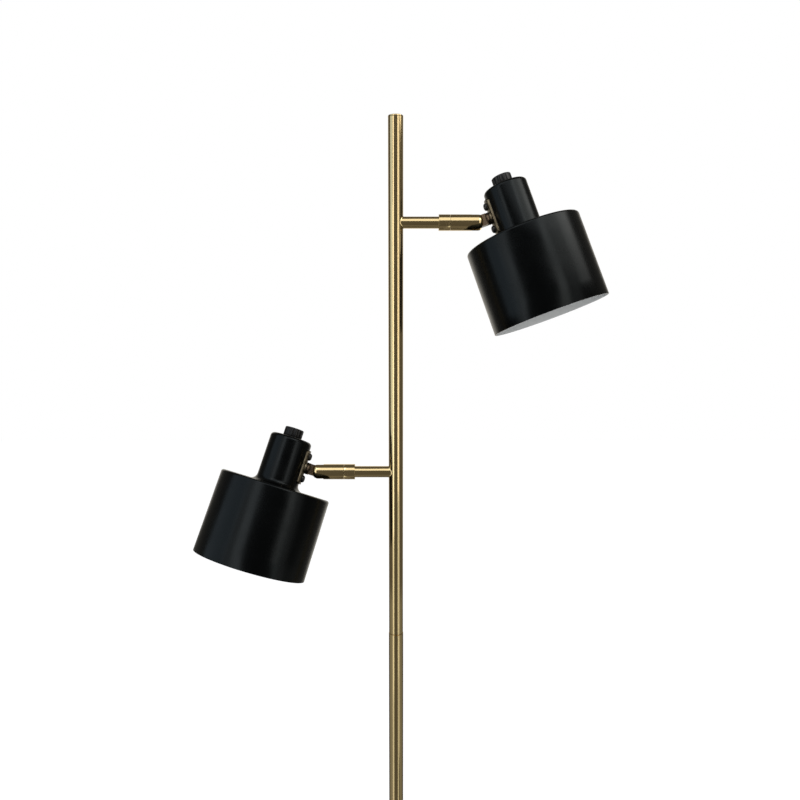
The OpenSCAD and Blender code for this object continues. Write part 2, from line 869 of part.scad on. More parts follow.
felt_pad();
base_weight();
base_cover();
cord_bush();
terminal_block();
base_washer();
base_nut();
base_nipple();
foot_collar();
pole_inserts();
pole_joiners();
bottom_tube();
middle_tube();
top_tube();
pole_cap();
pole_leads();
arm("upper");  // upper_arm
arm("lower");  // lower_arm
collar("upper");  // upper_collar
collar("lower");  // lower_collar
barrel("upper");  // upper_barrel
barrel("lower");  // lower_barrel
swivel_post("upper");  // upper_swivel_post
swivel_post("lower");  // lower_swivel_post
friction_washer("upper");  // upper_friction_washer
friction_washer("lower");  // lower_friction_washer
pivot_screw("upper");  // upper_pivot_screw
pivot_screw("lower");  // lower_pivot_screw
shade("upper");  // upper_shade
shade("lower");  // lower_shade
saddle_plate("upper");  // upper_saddle_plate
saddle_plate("lower");  // lower_saddle_plate
saddle_screws("upper");  // upper_saddle_screws
saddle_screws("lower");  // lower_saddle_screws
backing_plate("upper");  // upper_backing_plate
backing_plate("lower");  // lower_backing_plate
knuckle_stud("upper");  // upper_knuckle_stud
knuckle_stud("lower");  // lower_knuckle_stud
stud_washer("upper");  // upper_stud_washer
stud_washer("lower");  // lower_stud_washer
stud_nut("upper");  // upper_stud_nut
stud_nut("lower");  // lower_stud_nut
switch_housing("upper");  // upper_switch_housing
switch_housing("lower");  // lower_switch_housing
switch_bushing("upper");  // upper_switch_bushing
switch_bushing("lower");  // lower_switch_bushing
bushing_nut("upper");  // upper_bushing_nut
bushing_nut("lower");  // lower_bushing_nut
socket_body("upper");  // upper_socket_body
socket_body("lower");  // lower_socket_body
socket_shell("upper");  // upper_socket_shell
socket_shell("lower");  // lower_socket_shell
centre_contact("upper");  // upper_centre_contact
centre_contact("lower");  // lower_centre_contact
head_lead("upper");  // upper_head_lead
head_lead("lower");  // lower_head_lead
knob("upper");  // upper_knob
knob("lower");  // lower_knob
switch_shaft("upper");  // upper_switch_shaft
switch_shaft("lower");  // lower_switch_shaft
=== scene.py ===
# %% [markdown]
# # A two-head floor lamp, dressed for the camera
#
# The lamp's solids come ready made: every tube, screw and shade is a CAD node in the
# frame, at its true size and place, and rides on the body that it moves with. This
# lesson gives them their looks. Some nodes keep their mesh and only get a better
# material. Others are too plain for a close look, so a new piece is modelled in the
# same place and stands for them.

# %% Load the frame
import json
import math

import bpy
from mathutils import Matrix, Vector


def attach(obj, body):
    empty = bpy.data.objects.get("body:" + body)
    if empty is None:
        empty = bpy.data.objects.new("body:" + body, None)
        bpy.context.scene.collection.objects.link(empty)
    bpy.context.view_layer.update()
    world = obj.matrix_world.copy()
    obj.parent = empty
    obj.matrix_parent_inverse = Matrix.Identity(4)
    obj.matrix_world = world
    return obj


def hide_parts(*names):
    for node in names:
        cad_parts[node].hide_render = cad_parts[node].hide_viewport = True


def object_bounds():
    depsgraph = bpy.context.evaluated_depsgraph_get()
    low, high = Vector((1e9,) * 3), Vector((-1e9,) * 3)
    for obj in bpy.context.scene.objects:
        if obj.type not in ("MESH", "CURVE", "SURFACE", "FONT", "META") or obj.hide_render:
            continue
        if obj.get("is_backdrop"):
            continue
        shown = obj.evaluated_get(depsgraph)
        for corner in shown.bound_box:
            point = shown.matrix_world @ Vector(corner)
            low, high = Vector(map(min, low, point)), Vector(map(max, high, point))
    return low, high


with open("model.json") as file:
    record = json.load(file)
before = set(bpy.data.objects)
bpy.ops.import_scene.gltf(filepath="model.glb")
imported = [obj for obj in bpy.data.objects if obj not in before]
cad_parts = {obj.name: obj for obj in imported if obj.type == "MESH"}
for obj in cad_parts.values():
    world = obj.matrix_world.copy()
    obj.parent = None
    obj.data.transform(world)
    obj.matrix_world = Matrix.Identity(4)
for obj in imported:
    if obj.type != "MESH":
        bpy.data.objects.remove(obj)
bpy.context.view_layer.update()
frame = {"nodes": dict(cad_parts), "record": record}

# %% [markdown]
# ## Sizes and places
#
# All sizes are in metres and are the ones the lamp is built to. The upper head hangs on
# the +X side of the pole and the lower one on the -X side. Each head is turned a little
# about its arm (the roll) and tilted outwards on its pin (the tilt), so a piece of a head
# is easiest to model upright at the world's origin and then carried to its place by one
# matrix, which goes into the mesh, so that the object itself stays at the origin.

# %% Sizes of the lamp
MM = 0.001
SIDES = ("upper", "lower")
TOTAL_H = 1550 * MM
POLE_R = 8 * MM
LOW_TUBE_R = 8.3 * MM
TOP_JOINT_Z = 982 * MM
BASE_R = 125 * MM
BASE_H = 20 * MM
ARM_Z = {"upper": 1441.6 * MM, "lower": 1171.2 * MM}
ARM_R = 6.25 * MM
HEADING = {"upper": 0.0, "lower": math.pi}
ROLL = {"upper": math.radians(-9.3), "lower": math.radians(17.8)}
TILT = {"upper": math.radians(19.6), "lower": math.radians(17)}
BACK = {"upper": 1, "lower": -1}
COLLAR_FROM = 45.5 * MM
COLLAR_TO = 57.5 * MM
BARREL_FROM = 57.8 * MM
BARREL_LEN = 34.6 * MM
SWIVEL_R = 8.5 * MM
PIN_X = 87 * MM
AXIS_X = 39.6 * MM
PIN_RISE = 27.6 * MM
SHADE_RIM_R = 62.2 * MM
SHADE_TOP_R = 61.6 * MM
SHADE_H = 91 * MM
SHADE_WALL = 1.2 * MM
NECK_R = 23.5 * MM
NECK_H = 55.4 * MM
LEAST_CORNER = 0.2 * MM


def arm_frame(side):
    """x runs out along the arm from the pole's axis."""
    return Matrix.Translation((0, 0, ARM_Z[side])) @ Matrix.Rotation(HEADING[side], 4, "Z")


def swivel_frame(side):
    """The same, turned about the arm with the barrel."""
    return arm_frame(side) @ Matrix.Rotation(ROLL[side], 4, "X")


def pin_frame(side):
    """Its origin is on the tilt pin, and it tilts with the head."""
    out = swivel_frame(side) @ Matrix.Translation((PIN_X, 0, 0))
    return out @ Matrix.Rotation(-TILT[side], 4, "Y")


def head_frame(side):
    """z is the shade's axis, and z = 0 is the shade's top."""
    return pin_frame(side) @ Matrix.Translation((AXIS_X, 0, -PIN_RISE))


ALONG_X = Matrix.Rotation(math.pi / 2, 4, "Y")
TOWARDS_SADDLE = Matrix.Translation((0, 0, PIN_RISE)) @ Matrix.Rotation(-math.pi / 2, 4, "Y")
for side in SIDES:
    print(side, "shade's top centre at", [round(v, 4) for v in head_frame(side).translation])

# %% [markdown]
# ## The camera
#
# The picture was taken from about the height of the upper arm, 75 cm in front of the
# pole, looking slightly down. A wide lens at so short a distance is what makes the upper
# shade show its inside while the lower one doesn't. The lens is given in millimetres for
# a 36 mm sensor.

# %% Camera
CAMERA_PLACE = (0.00456, -0.75282, 1.35747)
CAMERA_DOWN = math.radians(7.99)
SENSOR = 36
FOCUS_PX = 692.55
FRAME_PX = 800

bpy.ops.object.select_all(action="DESELECT")
bpy.ops.object.camera_add(location=CAMERA_PLACE, rotation=(math.pi / 2 - CAMERA_DOWN, 0, 0))
camera = bpy.context.active_object
camera.name = "picture_camera"
camera.data.sensor_width = SENSOR
camera.data.lens = FOCUS_PX * SENSOR / FRAME_PX
camera.data.clip_start = 0.01
bpy.context.scene.camera = camera
bpy.context.scene.view_settings.view_transform = "Standard"
print("lens", round(camera.data.lens, 2), "mm")

# %% [markdown]
# ## The studio
#
# The lamp stands in front of white. Brass is a mirror, so what it shows is the studio: a
# tall bright strip at each side of the camera draws the two light stripes down the pole,
# the dark room behind the camera draws the dark line between them, and the dim sides
# draw its brown edges. Each strip is in three lengths that grow dimmer towards the floor,
# as the pole does, and stands close, because the two heads show it in different places. A
# wing beside each strip widens its stripe. A box at the left and two at the right lay the
# broad bands on the black shades, two dim low walls light the sides of the lower pole, and
# a box overhead lights the tops of the arms.
#
# The world is white where the camera looks straight at it. What a mirror-like surface
# sees of it is white behind the lamp, a lit floor straight below and a dim room elsewhere.

# %% World
WORLD_FILL = 0.62
DIM_ROOM = 0.13
LIT_FLOOR = 0.22
ROOM_TONE = (1, 0.95, 0.84, 1)
WHITE_FROM_Y = 0.72
WHITE_TO_Y = 0.93
FLOOR_FROM_Z = -0.92
FLOOR_TO_Z = -0.72


def add_node(tree, kind, **inputs):
    """A shader node with its named inputs set."""
    node = tree.nodes.new(kind)
    for name, value in inputs.items():
        node.inputs[name.replace("_", " ")].default_value = value
    return node


def seen_in_mirror(tree):
    """1 for a ray that left a glossy or a clear surface, else 0."""
    path = tree.nodes.new("ShaderNodeLightPath")
    shiny = tree.nodes.new("ShaderNodeMath")
    shiny.operation = "MAXIMUM"
    tree.links.new(path.outputs["Is Glossy Ray"], shiny.inputs[0])
    tree.links.new(path.outputs["Is Transmission Ray"], shiny.inputs[1])
    return shiny.outputs[0], path.outputs["Is Camera Ray"]


def mixed(tree, factor, when_0, when_1):
    """One of two shaders, by a factor."""
    mix = tree.nodes.new("ShaderNodeMixShader")
    tree.links.new(factor, mix.inputs["Fac"])
    tree.links.new(when_0.outputs[0], mix.inputs[1])
    tree.links.new(when_1.outputs[0], mix.inputs[2])
    return mix


def ramp(tree, value, from_low, from_high, to_low, to_high):
    """A soft step from to_low to to_high, while the value goes from from_low to from_high."""
    limits = {"From_Min": from_low, "From_Max": from_high, "To_Min": to_low, "To_Max": to_high}
    step = add_node(tree, "ShaderNodeMapRange", **limits)
    step.interpolation_type = "SMOOTHSTEP"
    tree.links.new(value, step.inputs["Value"])
    return step.outputs["Result"]


def room_brightness(tree, direction):
    """White for a direction that points back, a little light for straight down, dim for the rest."""
    length_1 = tree.nodes.new("ShaderNodeVectorMath")
    length_1.operation = "NORMALIZE"
    tree.links.new(direction, length_1.inputs[0])
    split = tree.nodes.new("ShaderNodeSeparateXYZ")
    tree.links.new(length_1.outputs["Vector"], split.inputs[0])
    either = tree.nodes.new("ShaderNodeMath")
    either.operation = "MAXIMUM"
    behind = ramp(tree, split.outputs["Y"], WHITE_FROM_Y, WHITE_TO_Y, DIM_ROOM, 1)
    below = ramp(tree, split.outputs["Z"], FLOOR_FROM_Z, FLOOR_TO_Z, LIT_FLOOR, DIM_ROOM)
    tree.links.new(behind, either.inputs[0])
    tree.links.new(below, either.inputs[1])
    return either.outputs[0]


world = bpy.data.worlds.new("white_studio")
bpy.context.scene.world = world
world.use_nodes = True
tree = world.node_tree
tree.nodes.clear()
direction = tree.nodes.new("ShaderNodeTexCoord")
mirrored = add_node(tree, "ShaderNodeBackground", Color=ROOM_TONE)
tree.links.new(room_brightness(tree, direction.outputs["Generated"]), mirrored.inputs["Strength"])
fill = add_node(tree, "ShaderNodeBackground", Color=(0.97, 0.98, 1, 1), Strength=WORLD_FILL)
white = add_node(tree, "ShaderNodeBackground", Color=(1, 1, 1, 1), Strength=1)
in_mirror, in_camera = seen_in_mirror(tree)
surroundings = mixed(tree, in_mirror, fill, mirrored)
out = tree.nodes.new("ShaderNodeOutputWorld")
tree.links.new(mixed(tree, in_camera, surroundings, white).outputs[0], out.inputs["Surface"])
print("world fill", WORLD_FILL, "and dim room", DIM_ROOM)

# %% Soft boxes
COOL = (0.74, 0.88, 1.0)
WARM = (1.0, 0.97, 0.92)
NEUTRAL = (0.98, 0.99, 1.0)
GREENISH = (0.95, 1.0, 0.95)
LEFT_STAND = (-0.265, -0.352)
RIGHT_STAND = (0.32, -0.43)


def soft_box(name, place, facing, size, brightness, color):
    """A rectangular lamp that looks as bright as brightness, where 1 is white, in a mirror."""
    place, facing = Vector(place), Vector(facing)
    bpy.ops.object.select_all(action="DESELECT")
    bpy.ops.object.light_add(type="AREA", location=place)
    box = bpy.context.active_object
    box.name = name
    box.rotation_euler = (facing - place).to_track_quat("-Z", "Y").to_euler()
    box.data.shape = "RECTANGLE"
    box.data.size, box.data.size_y = size
    box.data.energy = brightness * math.pi * size[0] * size[1]
    box.data.color = color
    box.visible_camera = False
    return box


def upright_box(name, stand, middle_z, size, brightness, color):
    """A soft box on a stand that has (x, y), turned level towards the pole."""
    soft_box(name, (*stand, middle_z), (0, 0, middle_z), size, brightness, color)


upright_box("left_strip", LEFT_STAND, 1.54, (0.11, 1.18), 2.3, NEUTRAL)
upright_box("left_middle_strip", LEFT_STAND, 0.80, (0.11, 0.3), 1.3, GREENISH)
upright_box("left_low_strip", LEFT_STAND, 0.35, (0.11, 0.6), 0.82, GREENISH)
upright_box("left_wing", (-0.337, -0.283), 0.82, (0.085, 1.4), 0.85, NEUTRAL)
soft_box("left_box", (-0.47, -0.18, 1.70), (0, 0, 1.65), (0.34, 1.3), 1.05, COOL)
upright_box("right_strip", RIGHT_STAND, 1.565, (0.13, 1.13), 2.35, WARM)
upright_box("right_middle_strip", RIGHT_STAND, 0.815, (0.13, 0.37), 1.2, GREENISH)
upright_box("right_low_strip", RIGHT_STAND, 0.33, (0.13, 0.6), 0.85, GREENISH)
upright_box("right_wing", (0.50, -0.36), 1.35, (0.16, 1.9), 0.55, WARM)
soft_box("right_box", (0.95, -0.20, 1.97), (0.15, 0, 1.4), (0.5, 0.4), 1.8, WARM)
soft_box("high_right_box", (0.80, -0.38, 2.15), (0.15, 0, 1.4), (0.9, 0.55), 2.4, WARM)
soft_box("overhead_box", (0.03, -0.645, 2.13), (0, 0, 1.4), (1.0, 0.77), 1.5, NEUTRAL)
upright_box("left_low_wall", (-0.9, -0.1), 0.25, (0.9, 0.75), 0.19, GREENISH)
upright_box("right_low_wall", (0.9, -0.1), 0.25, (0.9, 0.75), 0.14, GREENISH)
print("fourteen soft boxes")

# %% [markdown]
# ## The floor
#
# The floor is a pale, plain sheet. Where the camera sees it, part of its white is given
# off by the sheet itself, so that it runs into the white of the world without a line,
# and the rest comes from the lamps and keeps the lamp's soft shadow. Mirror-like surfaces
# see it as they see the world: white far behind the lamp, a little lit straight below it
# and dim elsewhere.

# %% Floor
FLOOR_HALF = 6
FLOOR_GLOW = 0.53
FLOOR_DROP = 0.0005
LAMP_MIDDLE = 1.2

bpy.ops.object.select_all(action="DESELECT")
bpy.ops.mesh.primitive_plane_add(size=2 * FLOOR_HALF, location=(0, 0, -FLOOR_DROP))
floor = bpy.context.active_object
floor.name = "studio_floor"
floor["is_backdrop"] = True
paper = bpy.data.materials.new("floor_paper")
paper.use_nodes = True
tree = paper.node_tree
tree.nodes.clear()
lit = add_node(tree, "ShaderNodeBsdfDiffuse", Color=(0.8, 0.8, 0.8, 1))
glow = add_node(tree, "ShaderNodeEmission", Color=(1, 1, 1, 1), Strength=FLOOR_GLOW)
seen = tree.nodes.new("ShaderNodeAddShader")
tree.links.new(lit.outputs[0], seen.inputs[0])
tree.links.new(glow.outputs[0], seen.inputs[1])
place = tree.nodes.new("ShaderNodeTexCoord")
from_lamp = add_node(tree, "ShaderNodeMapping", Location=(0, 0, -LAMP_MIDDLE))
tree.links.new(place.outputs["Object"], from_lamp.inputs["Vector"])
mirrored = add_node(tree, "ShaderNodeEmission", Color=ROOM_TONE)
tree.links.new(room_brightness(tree, from_lamp.outputs["Vector"]), mirrored.inputs["Strength"])
in_mirror, in_camera = seen_in_mirror(tree)
surface = mixed(tree, in_camera, mixed(tree, in_mirror, lit, mirrored), seen)
out = tree.nodes.new("ShaderNodeOutputMaterial")
tree.links.new(surface.outputs[0], out.inputs["Surface"])
floor.data.materials.append(paper)
print("floor", 2 * FLOOR_HALF, "m square")

# %% [markdown]
# ## How a finish is put together
#
# Every finish below starts the same way: object coordinates are turned into the piece's
# own frame, so that "along the piece" is always z, then a noise is stretched along or
# around it for grain, and the noise drives colour, roughness and a little bump. The
# helpers keep that short. A number that is the same all over stays on the shader's
# own socket.

# %% Material helpers


def new_finish(name):
    """A material with an empty Principled shader. Returns the material, its tree and the shader."""
    material = bpy.data.materials.new(name)
    material.use_nodes = True
    tree = material.node_tree
    shader = tree.nodes["Principled BSDF"]
    return material, tree, shader


def piece_coordinates(tree, piece_frame):
    """Object coordinates, turned so that they are the piece's own."""
    coords = tree.nodes.new("ShaderNodeTexCoord")
    back = piece_frame.inverted()
    turn = add_node(tree, "ShaderNodeMapping", Location=back.translation, Rotation=back.to_euler())
    tree.links.new(coords.outputs["Object"], turn.inputs["Vector"])
    return turn.outputs["Vector"]


def grain(tree, coords, scale, detail=4, roughness=0.55):
    """Noise with its own scale along each axis, in cycles per metre."""
    stretch = add_node(tree, "ShaderNodeMapping", Scale=scale)
    noise = add_node(tree, "ShaderNodeTexNoise", Scale=1, Detail=detail, Roughness=roughness)
    tree.links.new(coords, stretch.inputs["Vector"])
    tree.links.new(stretch.outputs["Vector"], noise.inputs["Vector"])
    return noise.outputs["Fac"]


def spread(tree, value, low, high, from_low=0.3, from_high=0.7):
    """Stretches a noise between two numbers."""
    limits = {"From_Min": from_low, "From_Max": from_high, "To_Min": low, "To_Max": high}
    node = add_node(tree, "ShaderNodeMapRange", **limits)
    tree.links.new(value, node.inputs["Value"])
    return node.outputs["Result"]


def two_colors(tree, value, dark, light):
    """Mixes two colours by a value."""
    mix = tree.nodes.new("ShaderNodeMix")
    mix.data_type = "RGBA"
    mix.inputs["A"].default_value = (*dark, 1)
    mix.inputs["B"].default_value = (*light, 1)
    tree.links.new(value, mix.inputs["Factor"])
    return mix.outputs["Result"]


def bump(tree, shader, height, distance):
    """Bump of a true height in metres."""
    node = add_node(tree, "ShaderNodeBump", Strength=1, Distance=distance)
    tree.links.new(height, node.inputs["Height"])
    tree.links.new(node.outputs["Normal"], shader.inputs["Normal"])


def worn_edges(tree, radius):
    """1 along sharp edges and 0 on open faces, from a bevelled normal."""
    geometry = tree.nodes.new("ShaderNodeNewGeometry")
    rounded = add_node(tree, "ShaderNodeBevel", Radius=radius)
    dot = tree.nodes.new("ShaderNodeVectorMath")
    dot.operation = "DOT_PRODUCT"
    tree.links.new(geometry.outputs["Normal"], dot.inputs[0])
    tree.links.new(rounded.outputs["Normal"], dot.inputs[1])
    return spread(tree, dot.outputs["Value"], 1, 0, 0.9, 1.0)


print("helpers ready")

# %% [markdown]
# ## Brushed brass
#
# Pole, arms, collars and barrels are steel tube and bar, brass plated, brushed along
# their length and lacquered, in a slightly greenish antique tone. Brushing shows as very
# fine lines, so the grain's noise changes a thousand times a metre across the piece and
# only a few times along it. It moves the tone and leaves a bump of less than a micron.
# Slow clouds, some centimetres across, darken the plating here and there and move its
# roughness.

# %% Brass finishes
BRASS_DARK = (0.615, 0.475, 0.245)
BRASS_LIGHT = (0.655, 0.515, 0.28)
BRASS_CLOUDS = (0.86, 0.82, 0.74, 1)
BRASS_ROUGH = 0.11
LINES_ACROSS = 1300
LINES_ALONG = 2
LINE_HEIGHT = 0.0006 * MM


def brushed_brass(name, piece_frame):
    """Fine lines along the piece's z axis, under slow clouds."""
    material, tree, shader = new_finish(name)
    coords = piece_coordinates(tree, piece_frame)
    lines = grain(tree, coords, (LINES_ACROSS, LINES_ACROSS, LINES_ALONG), detail=1, roughness=0.4)
    clouds = grain(tree, coords, (30, 30, 6), detail=1)
    tone = two_colors(tree, spread(tree, lines, 0, 1), BRASS_DARK, BRASS_LIGHT)
    aged = tree.nodes.new("ShaderNodeMix")
    aged.data_type = "RGBA"
    aged.blend_type = "MULTIPLY"
    aged.inputs["B"].default_value = BRASS_CLOUDS
    tree.links.new(spread(tree, clouds, 0, 0.35), aged.inputs["Factor"])
    tree.links.new(tone, aged.inputs["A"])
    tree.links.new(aged.outputs["Result"], shader.inputs["Base Color"])
    tree.links.new(spread(tree, clouds, BRASS_ROUGH - 0.015, BRASS_ROUGH + 0.03), shader.inputs["Roughness"])
    shader.inputs["Metallic"].default_value = 1
    bump(tree, shader, lines, LINE_HEIGHT)
    return material


UPRIGHT = Matrix.Identity(4)
pole_brass = brushed_brass("pole_brass", UPRIGHT)
arm_brass = brushed_brass("arm_brass", ALONG_X)
print("brass for the pole and the arms")

# %% [markdown]
# ## Black lacquer outside, white inside
#
# The shades are sprayed satin black. A sprayed coat is never quite flat: it has a faint
# orange peel a millimetre or two across, and its gloss wanders a little. On sharp edges
# the coat is thinner and looks greyer. The inside is sprayed white, to throw the light out.

# %% Paint finishes


def sprayed_paint(name, piece_frame, color, edge_color, rough, peel=900):
    """A coat with a faint orange peel that is thinner and paler on sharp edges."""
    material, tree, shader = new_finish(name)
    coords = piece_coordinates(tree, piece_frame)
    orange_peel = grain(tree, coords, (peel, peel, peel), detail=2)
    drift = grain(tree, coords, (35, 35, 35), detail=3)
    edges = worn_edges(tree, 0.7 * MM)
    tone = two_colors(tree, edges, color, edge_color)
    tree.links.new(tone, shader.inputs["Base Color"])
    tree.links.new(spread(tree, drift, rough - 0.04, rough + 0.05), shader.inputs["Roughness"])
    shader.inputs["Specular IOR Level"].default_value = 0.16
    shader.inputs["Specular Tint"].default_value = (0.86, 0.96, 1, 1)
    bump(tree, shader, orange_peel, 0.004 * MM)
    return material


shade_black = {}
shade_white = {}
for side in SIDES:
    shade_black[side] = sprayed_paint(
        side + "_shade_black", head_frame(side), (0.0002, 0.0003, 0.0004), (0.003, 0.0034, 0.004), 0.25
    )
    shade_white[side] = sprayed_paint(
        side + "_shade_white", head_frame(side), (0.52, 0.53, 0.53), (0.56, 0.57, 0.57), 0.5, 700
    )
base_black = sprayed_paint("base_black", UPRIGHT, (0.006, 0.0065, 0.0075), (0.014, 0.015, 0.016), 0.38)
print("paints ready")

# %% [markdown]
# ## The small finishes
#
# Moulded plastic has a fine even grain and worn, slightly paler edges. Plated steel,
# nickel and bronze share one recipe, of fine tool marks and stains between two tones; the
# bronze of the knuckle is the darkest and brownest. Felt is a mat of short fibres, for
# which a fine noise and a sheen do better than any weave.

# %% Plastic, metals, felt


def moulded_plastic(name, color, edge_color, rough=0.42, gloss=0.5):
    """A fine even skin with paler edges."""
    material, tree, shader = new_finish(name)
    shader.inputs["Specular IOR Level"].default_value = gloss
    coords = piece_coordinates(tree, UPRIGHT)
    skin = grain(tree, coords, (2600, 2600, 2600), detail=2)
    tone = two_colors(tree, worn_edges(tree, 0.5 * MM), color, edge_color)
    tree.links.new(tone, shader.inputs["Base Color"])
    tree.links.new(spread(tree, skin, rough - 0.04, rough + 0.06), shader.inputs["Roughness"])
    bump(tree, shader, skin, 0.008 * MM)
    return material


def worked_metal(name, dark, light, rough, blotch=60, height=0.01 * MM):
    """Tool marks all over and stains between two tones."""
    material, tree, shader = new_finish(name)
    coords = piece_coordinates(tree, UPRIGHT)
    marks = grain(tree, coords, (700, 700, 700), detail=5, roughness=0.6)
    stains = grain(tree, coords, (blotch, blotch, blotch), detail=4)
    tree.links.new(two_colors(tree, spread(tree, stains, 0, 1), dark, light), shader.inputs["Base Color"])
    tree.links.new(spread(tree, marks, rough - 0.06, rough + 0.08), shader.inputs["Roughness"])
    shader.inputs["Metallic"].default_value = 1
    bump(tree, shader, marks, height)
    return material


def felt(name, dark, light):
    """A mat of short fibres with a sheen."""
    material, tree, shader = new_finish(name)
    coords = piece_coordinates(tree, UPRIGHT)
    fibres = grain(tree, coords, (1800, 1800, 900), detail=6, roughness=0.75)
    tree.links.new(two_colors(tree, spread(tree, fibres, 0, 1), dark, light), shader.inputs["Base Color"])
    shader.inputs["Roughness"].default_value = 0.95
    shader.inputs["Sheen Weight"].default_value = 0.5
    bump(tree, shader, fibres, 0.3 * MM)
    return material


small_finish = {
    "felt": felt("grey_felt", (0.055, 0.055, 0.06), (0.13, 0.13, 0.135)),
    "cast_iron": worked_metal(
        "sand_cast_iron", (0.10, 0.095, 0.09), (0.17, 0.165, 0.16), 0.62, height=0.2 * MM
    ),
    "black_paint": base_black,
    "black_plastic": moulded_plastic(
        "black_plastic", (0.0014, 0.0014, 0.0016), (0.008, 0.008, 0.009), 0.3, gloss=0.25
    ),
    "cream_plastic": moulded_plastic("cream_plastic", (0.78, 0.74, 0.62), (0.85, 0.82, 0.72)),
    "zinc_steel": worked_metal("zinc_steel", (0.50, 0.51, 0.53), (0.62, 0.62, 0.62), 0.32),
    "brushed_brass": pole_brass,
    "aged_brass": worked_metal("aged_brass", (0.08, 0.066, 0.044), (0.22, 0.185, 0.125), 0.38, blotch=150),
    "plain_brass": worked_metal("plain_brass", (0.62, 0.48, 0.22), (0.74, 0.60, 0.32), 0.28),
    "bronze": worked_metal("knuckle_bronze", (0.055, 0.039, 0.026), (0.13, 0.095, 0.063), 0.3),
    # The darkest bronze is the stud washer's dark tone, and also painted shade on the swivel post and
    # friction washer, which show only through the hairline gap.
    "dark_bronze_and_gap_shade": worked_metal("dark_bronze_and_gap_shade", (0.035, 0.028, 0.02), (0.075, 0.06, 0.042), 0.34),
    "black_screws": moulded_plastic(
        "blackened_screws", (0.006, 0.006, 0.006), (0.02, 0.018, 0.016), 0.3, gloss=0.4
    ),
    "nickel_brass": worked_metal("nickel_plate", (0.62, 0.58, 0.50), (0.74, 0.71, 0.64), 0.22),
    "lead_sheath": moulded_plastic("lead_sheath", (0.014, 0.014, 0.014), (0.02, 0.02, 0.02), 0.5),
}
print(len(small_finish), "small finishes")

# %% Every CAD node gets its finish
slot_of_node = {part["node"]: part["material_slot"] for part in frame["record"]["subparts"]}


def set_finish(obj, *materials):
    """The object's only materials are these."""
    obj.data.materials.clear()
    for material in materials:
        obj.data.materials.append(material)


for name, node in frame["nodes"].items():
    slot_name = slot_of_node[name]
    if slot_name == "shade_paint":
        set_finish(node, shade_black[name.split("_")[0]])
    elif name.endswith(("_arm", "_collar", "_barrel", "_pivot_screw")):
        set_finish(node, arm_brass)
    elif name.endswith("_saddle_plate"):
        set_finish(node, small_finish["aged_brass"])
    # Painted shade: the swivel post and friction washer get the darkest bronze, so that the hairline gap they
    # show through reads as a dark line.
    elif name.endswith(("_swivel_post", "_friction_washer")):
        set_finish(node, small_finish["dark_bronze_and_gap_shade"])
    else:
        set_finish(node, small_finish[slot_name])
print("all", len(frame["nodes"]), "nodes dressed")

# %% [markdown]
# ## Tools for turned and spun pieces
#
# Most of this lamp is round: it was spun from sheet or turned on a lathe. In Blender the
# same is done with one line, drawn point by point in edit mode as half of the section, and
# the spin operator. The spin leaves a seam and poles, whose doubles are merged before the
# normals are made to point outwards. Holes and slots are cut with rods and boxes that
# reach well past the piece.

# %% Tools for round pieces
SAME_POINT = 0.002 * MM
CUT_PAST = 20 * MM


def points_on_arc(x, z, r, from_deg, to_deg, steps=8):
    """Points (x, 0, z) of an arc, for a section that is drawn in the XZ plane."""
    turns = [math.radians(from_deg + (to_deg - from_deg) * i / steps) for i in range(steps + 1)]
    return [(x + r * math.cos(t), 0, z + r * math.sin(t)) for t in turns]


def pick(obj):
    """Makes the object the active one and the only one selected."""
    bpy.ops.object.select_all(action="DESELECT")
    obj.select_set(True)
    bpy.context.view_layer.objects.active = obj


def pick_none_of(kind):
    """Unselects all of the active mesh, whose points, edges or faces are then picked one by one."""
    bpy.ops.object.mode_set(mode="EDIT")
    bpy.ops.mesh.select_mode(type=kind)
    bpy.ops.mesh.select_all(action="DESELECT")
    bpy.ops.object.mode_set(mode="OBJECT")


def draw_line(name, points):
    """A line through the points, drawn by extruding one vertex, left in edit mode and selected."""
    bpy.ops.object.select_all(action="DESELECT")
    bpy.ops.mesh.primitive_plane_add(size=MM, location=(0, 0, 0))
    obj = bpy.context.active_object
    obj.name = obj.data.name = name
    bpy.ops.object.mode_set(mode="EDIT")
    bpy.ops.mesh.select_mode(type="VERT")
    bpy.ops.mesh.select_all(action="SELECT")
    bpy.ops.mesh.merge(type="CENTER")
    bpy.ops.transform.translate(value=points[0])
    for here, there in zip(points, points[1:]):
        step = Vector(there) - Vector(here)
        bpy.ops.mesh.extrude_vertices_move(TRANSFORM_OT_translate={"value": step})
    bpy.ops.mesh.select_all(action="SELECT")
    return obj


def tidy_round(obj):
    """Merges the seam and the poles, turns the faces outwards and leaves edit mode."""
    bpy.ops.mesh.select_all(action="SELECT")
    bpy.ops.mesh.remove_doubles(threshold=SAME_POINT)
    bpy.ops.mesh.normals_make_consistent(inside=False)
    bpy.ops.object.mode_set(mode="OBJECT")
    return obj


def turned(name, points, steps=72):
    """Spins a section about the z axis: a solid if it is closed or ends on the axis, else a skin."""
    obj = draw_line(name, points)
    bpy.ops.mesh.spin(steps=steps, angle=2 * math.pi, center=(0, 0, 0), axis=(0, 0, 1))
    return tidy_round(obj)


def apply_modifier(obj, kind, **settings):
    """Adds one modifier, sets it and applies it."""
    pick(obj)
    modifier = obj.modifiers.new(kind.lower(), kind)
    for key, value in settings.items():
        setattr(modifier, key, value)
    bpy.ops.object.modifier_apply(modifier=modifier.name)
    return obj


def combine(obj, other, operation):
    """Joins the other's shape to the object, keeps what both share or takes the other away."""
    apply_modifier(obj, "BOOLEAN", operation=operation, solver="EXACT", object=other)
    bpy.data.objects.remove(other)
    return obj


def cut_away(obj, cutter):
    """Takes the cutter's shape out of the object, and the cutter out of the scene."""
    return combine(obj, cutter, "DIFFERENCE")


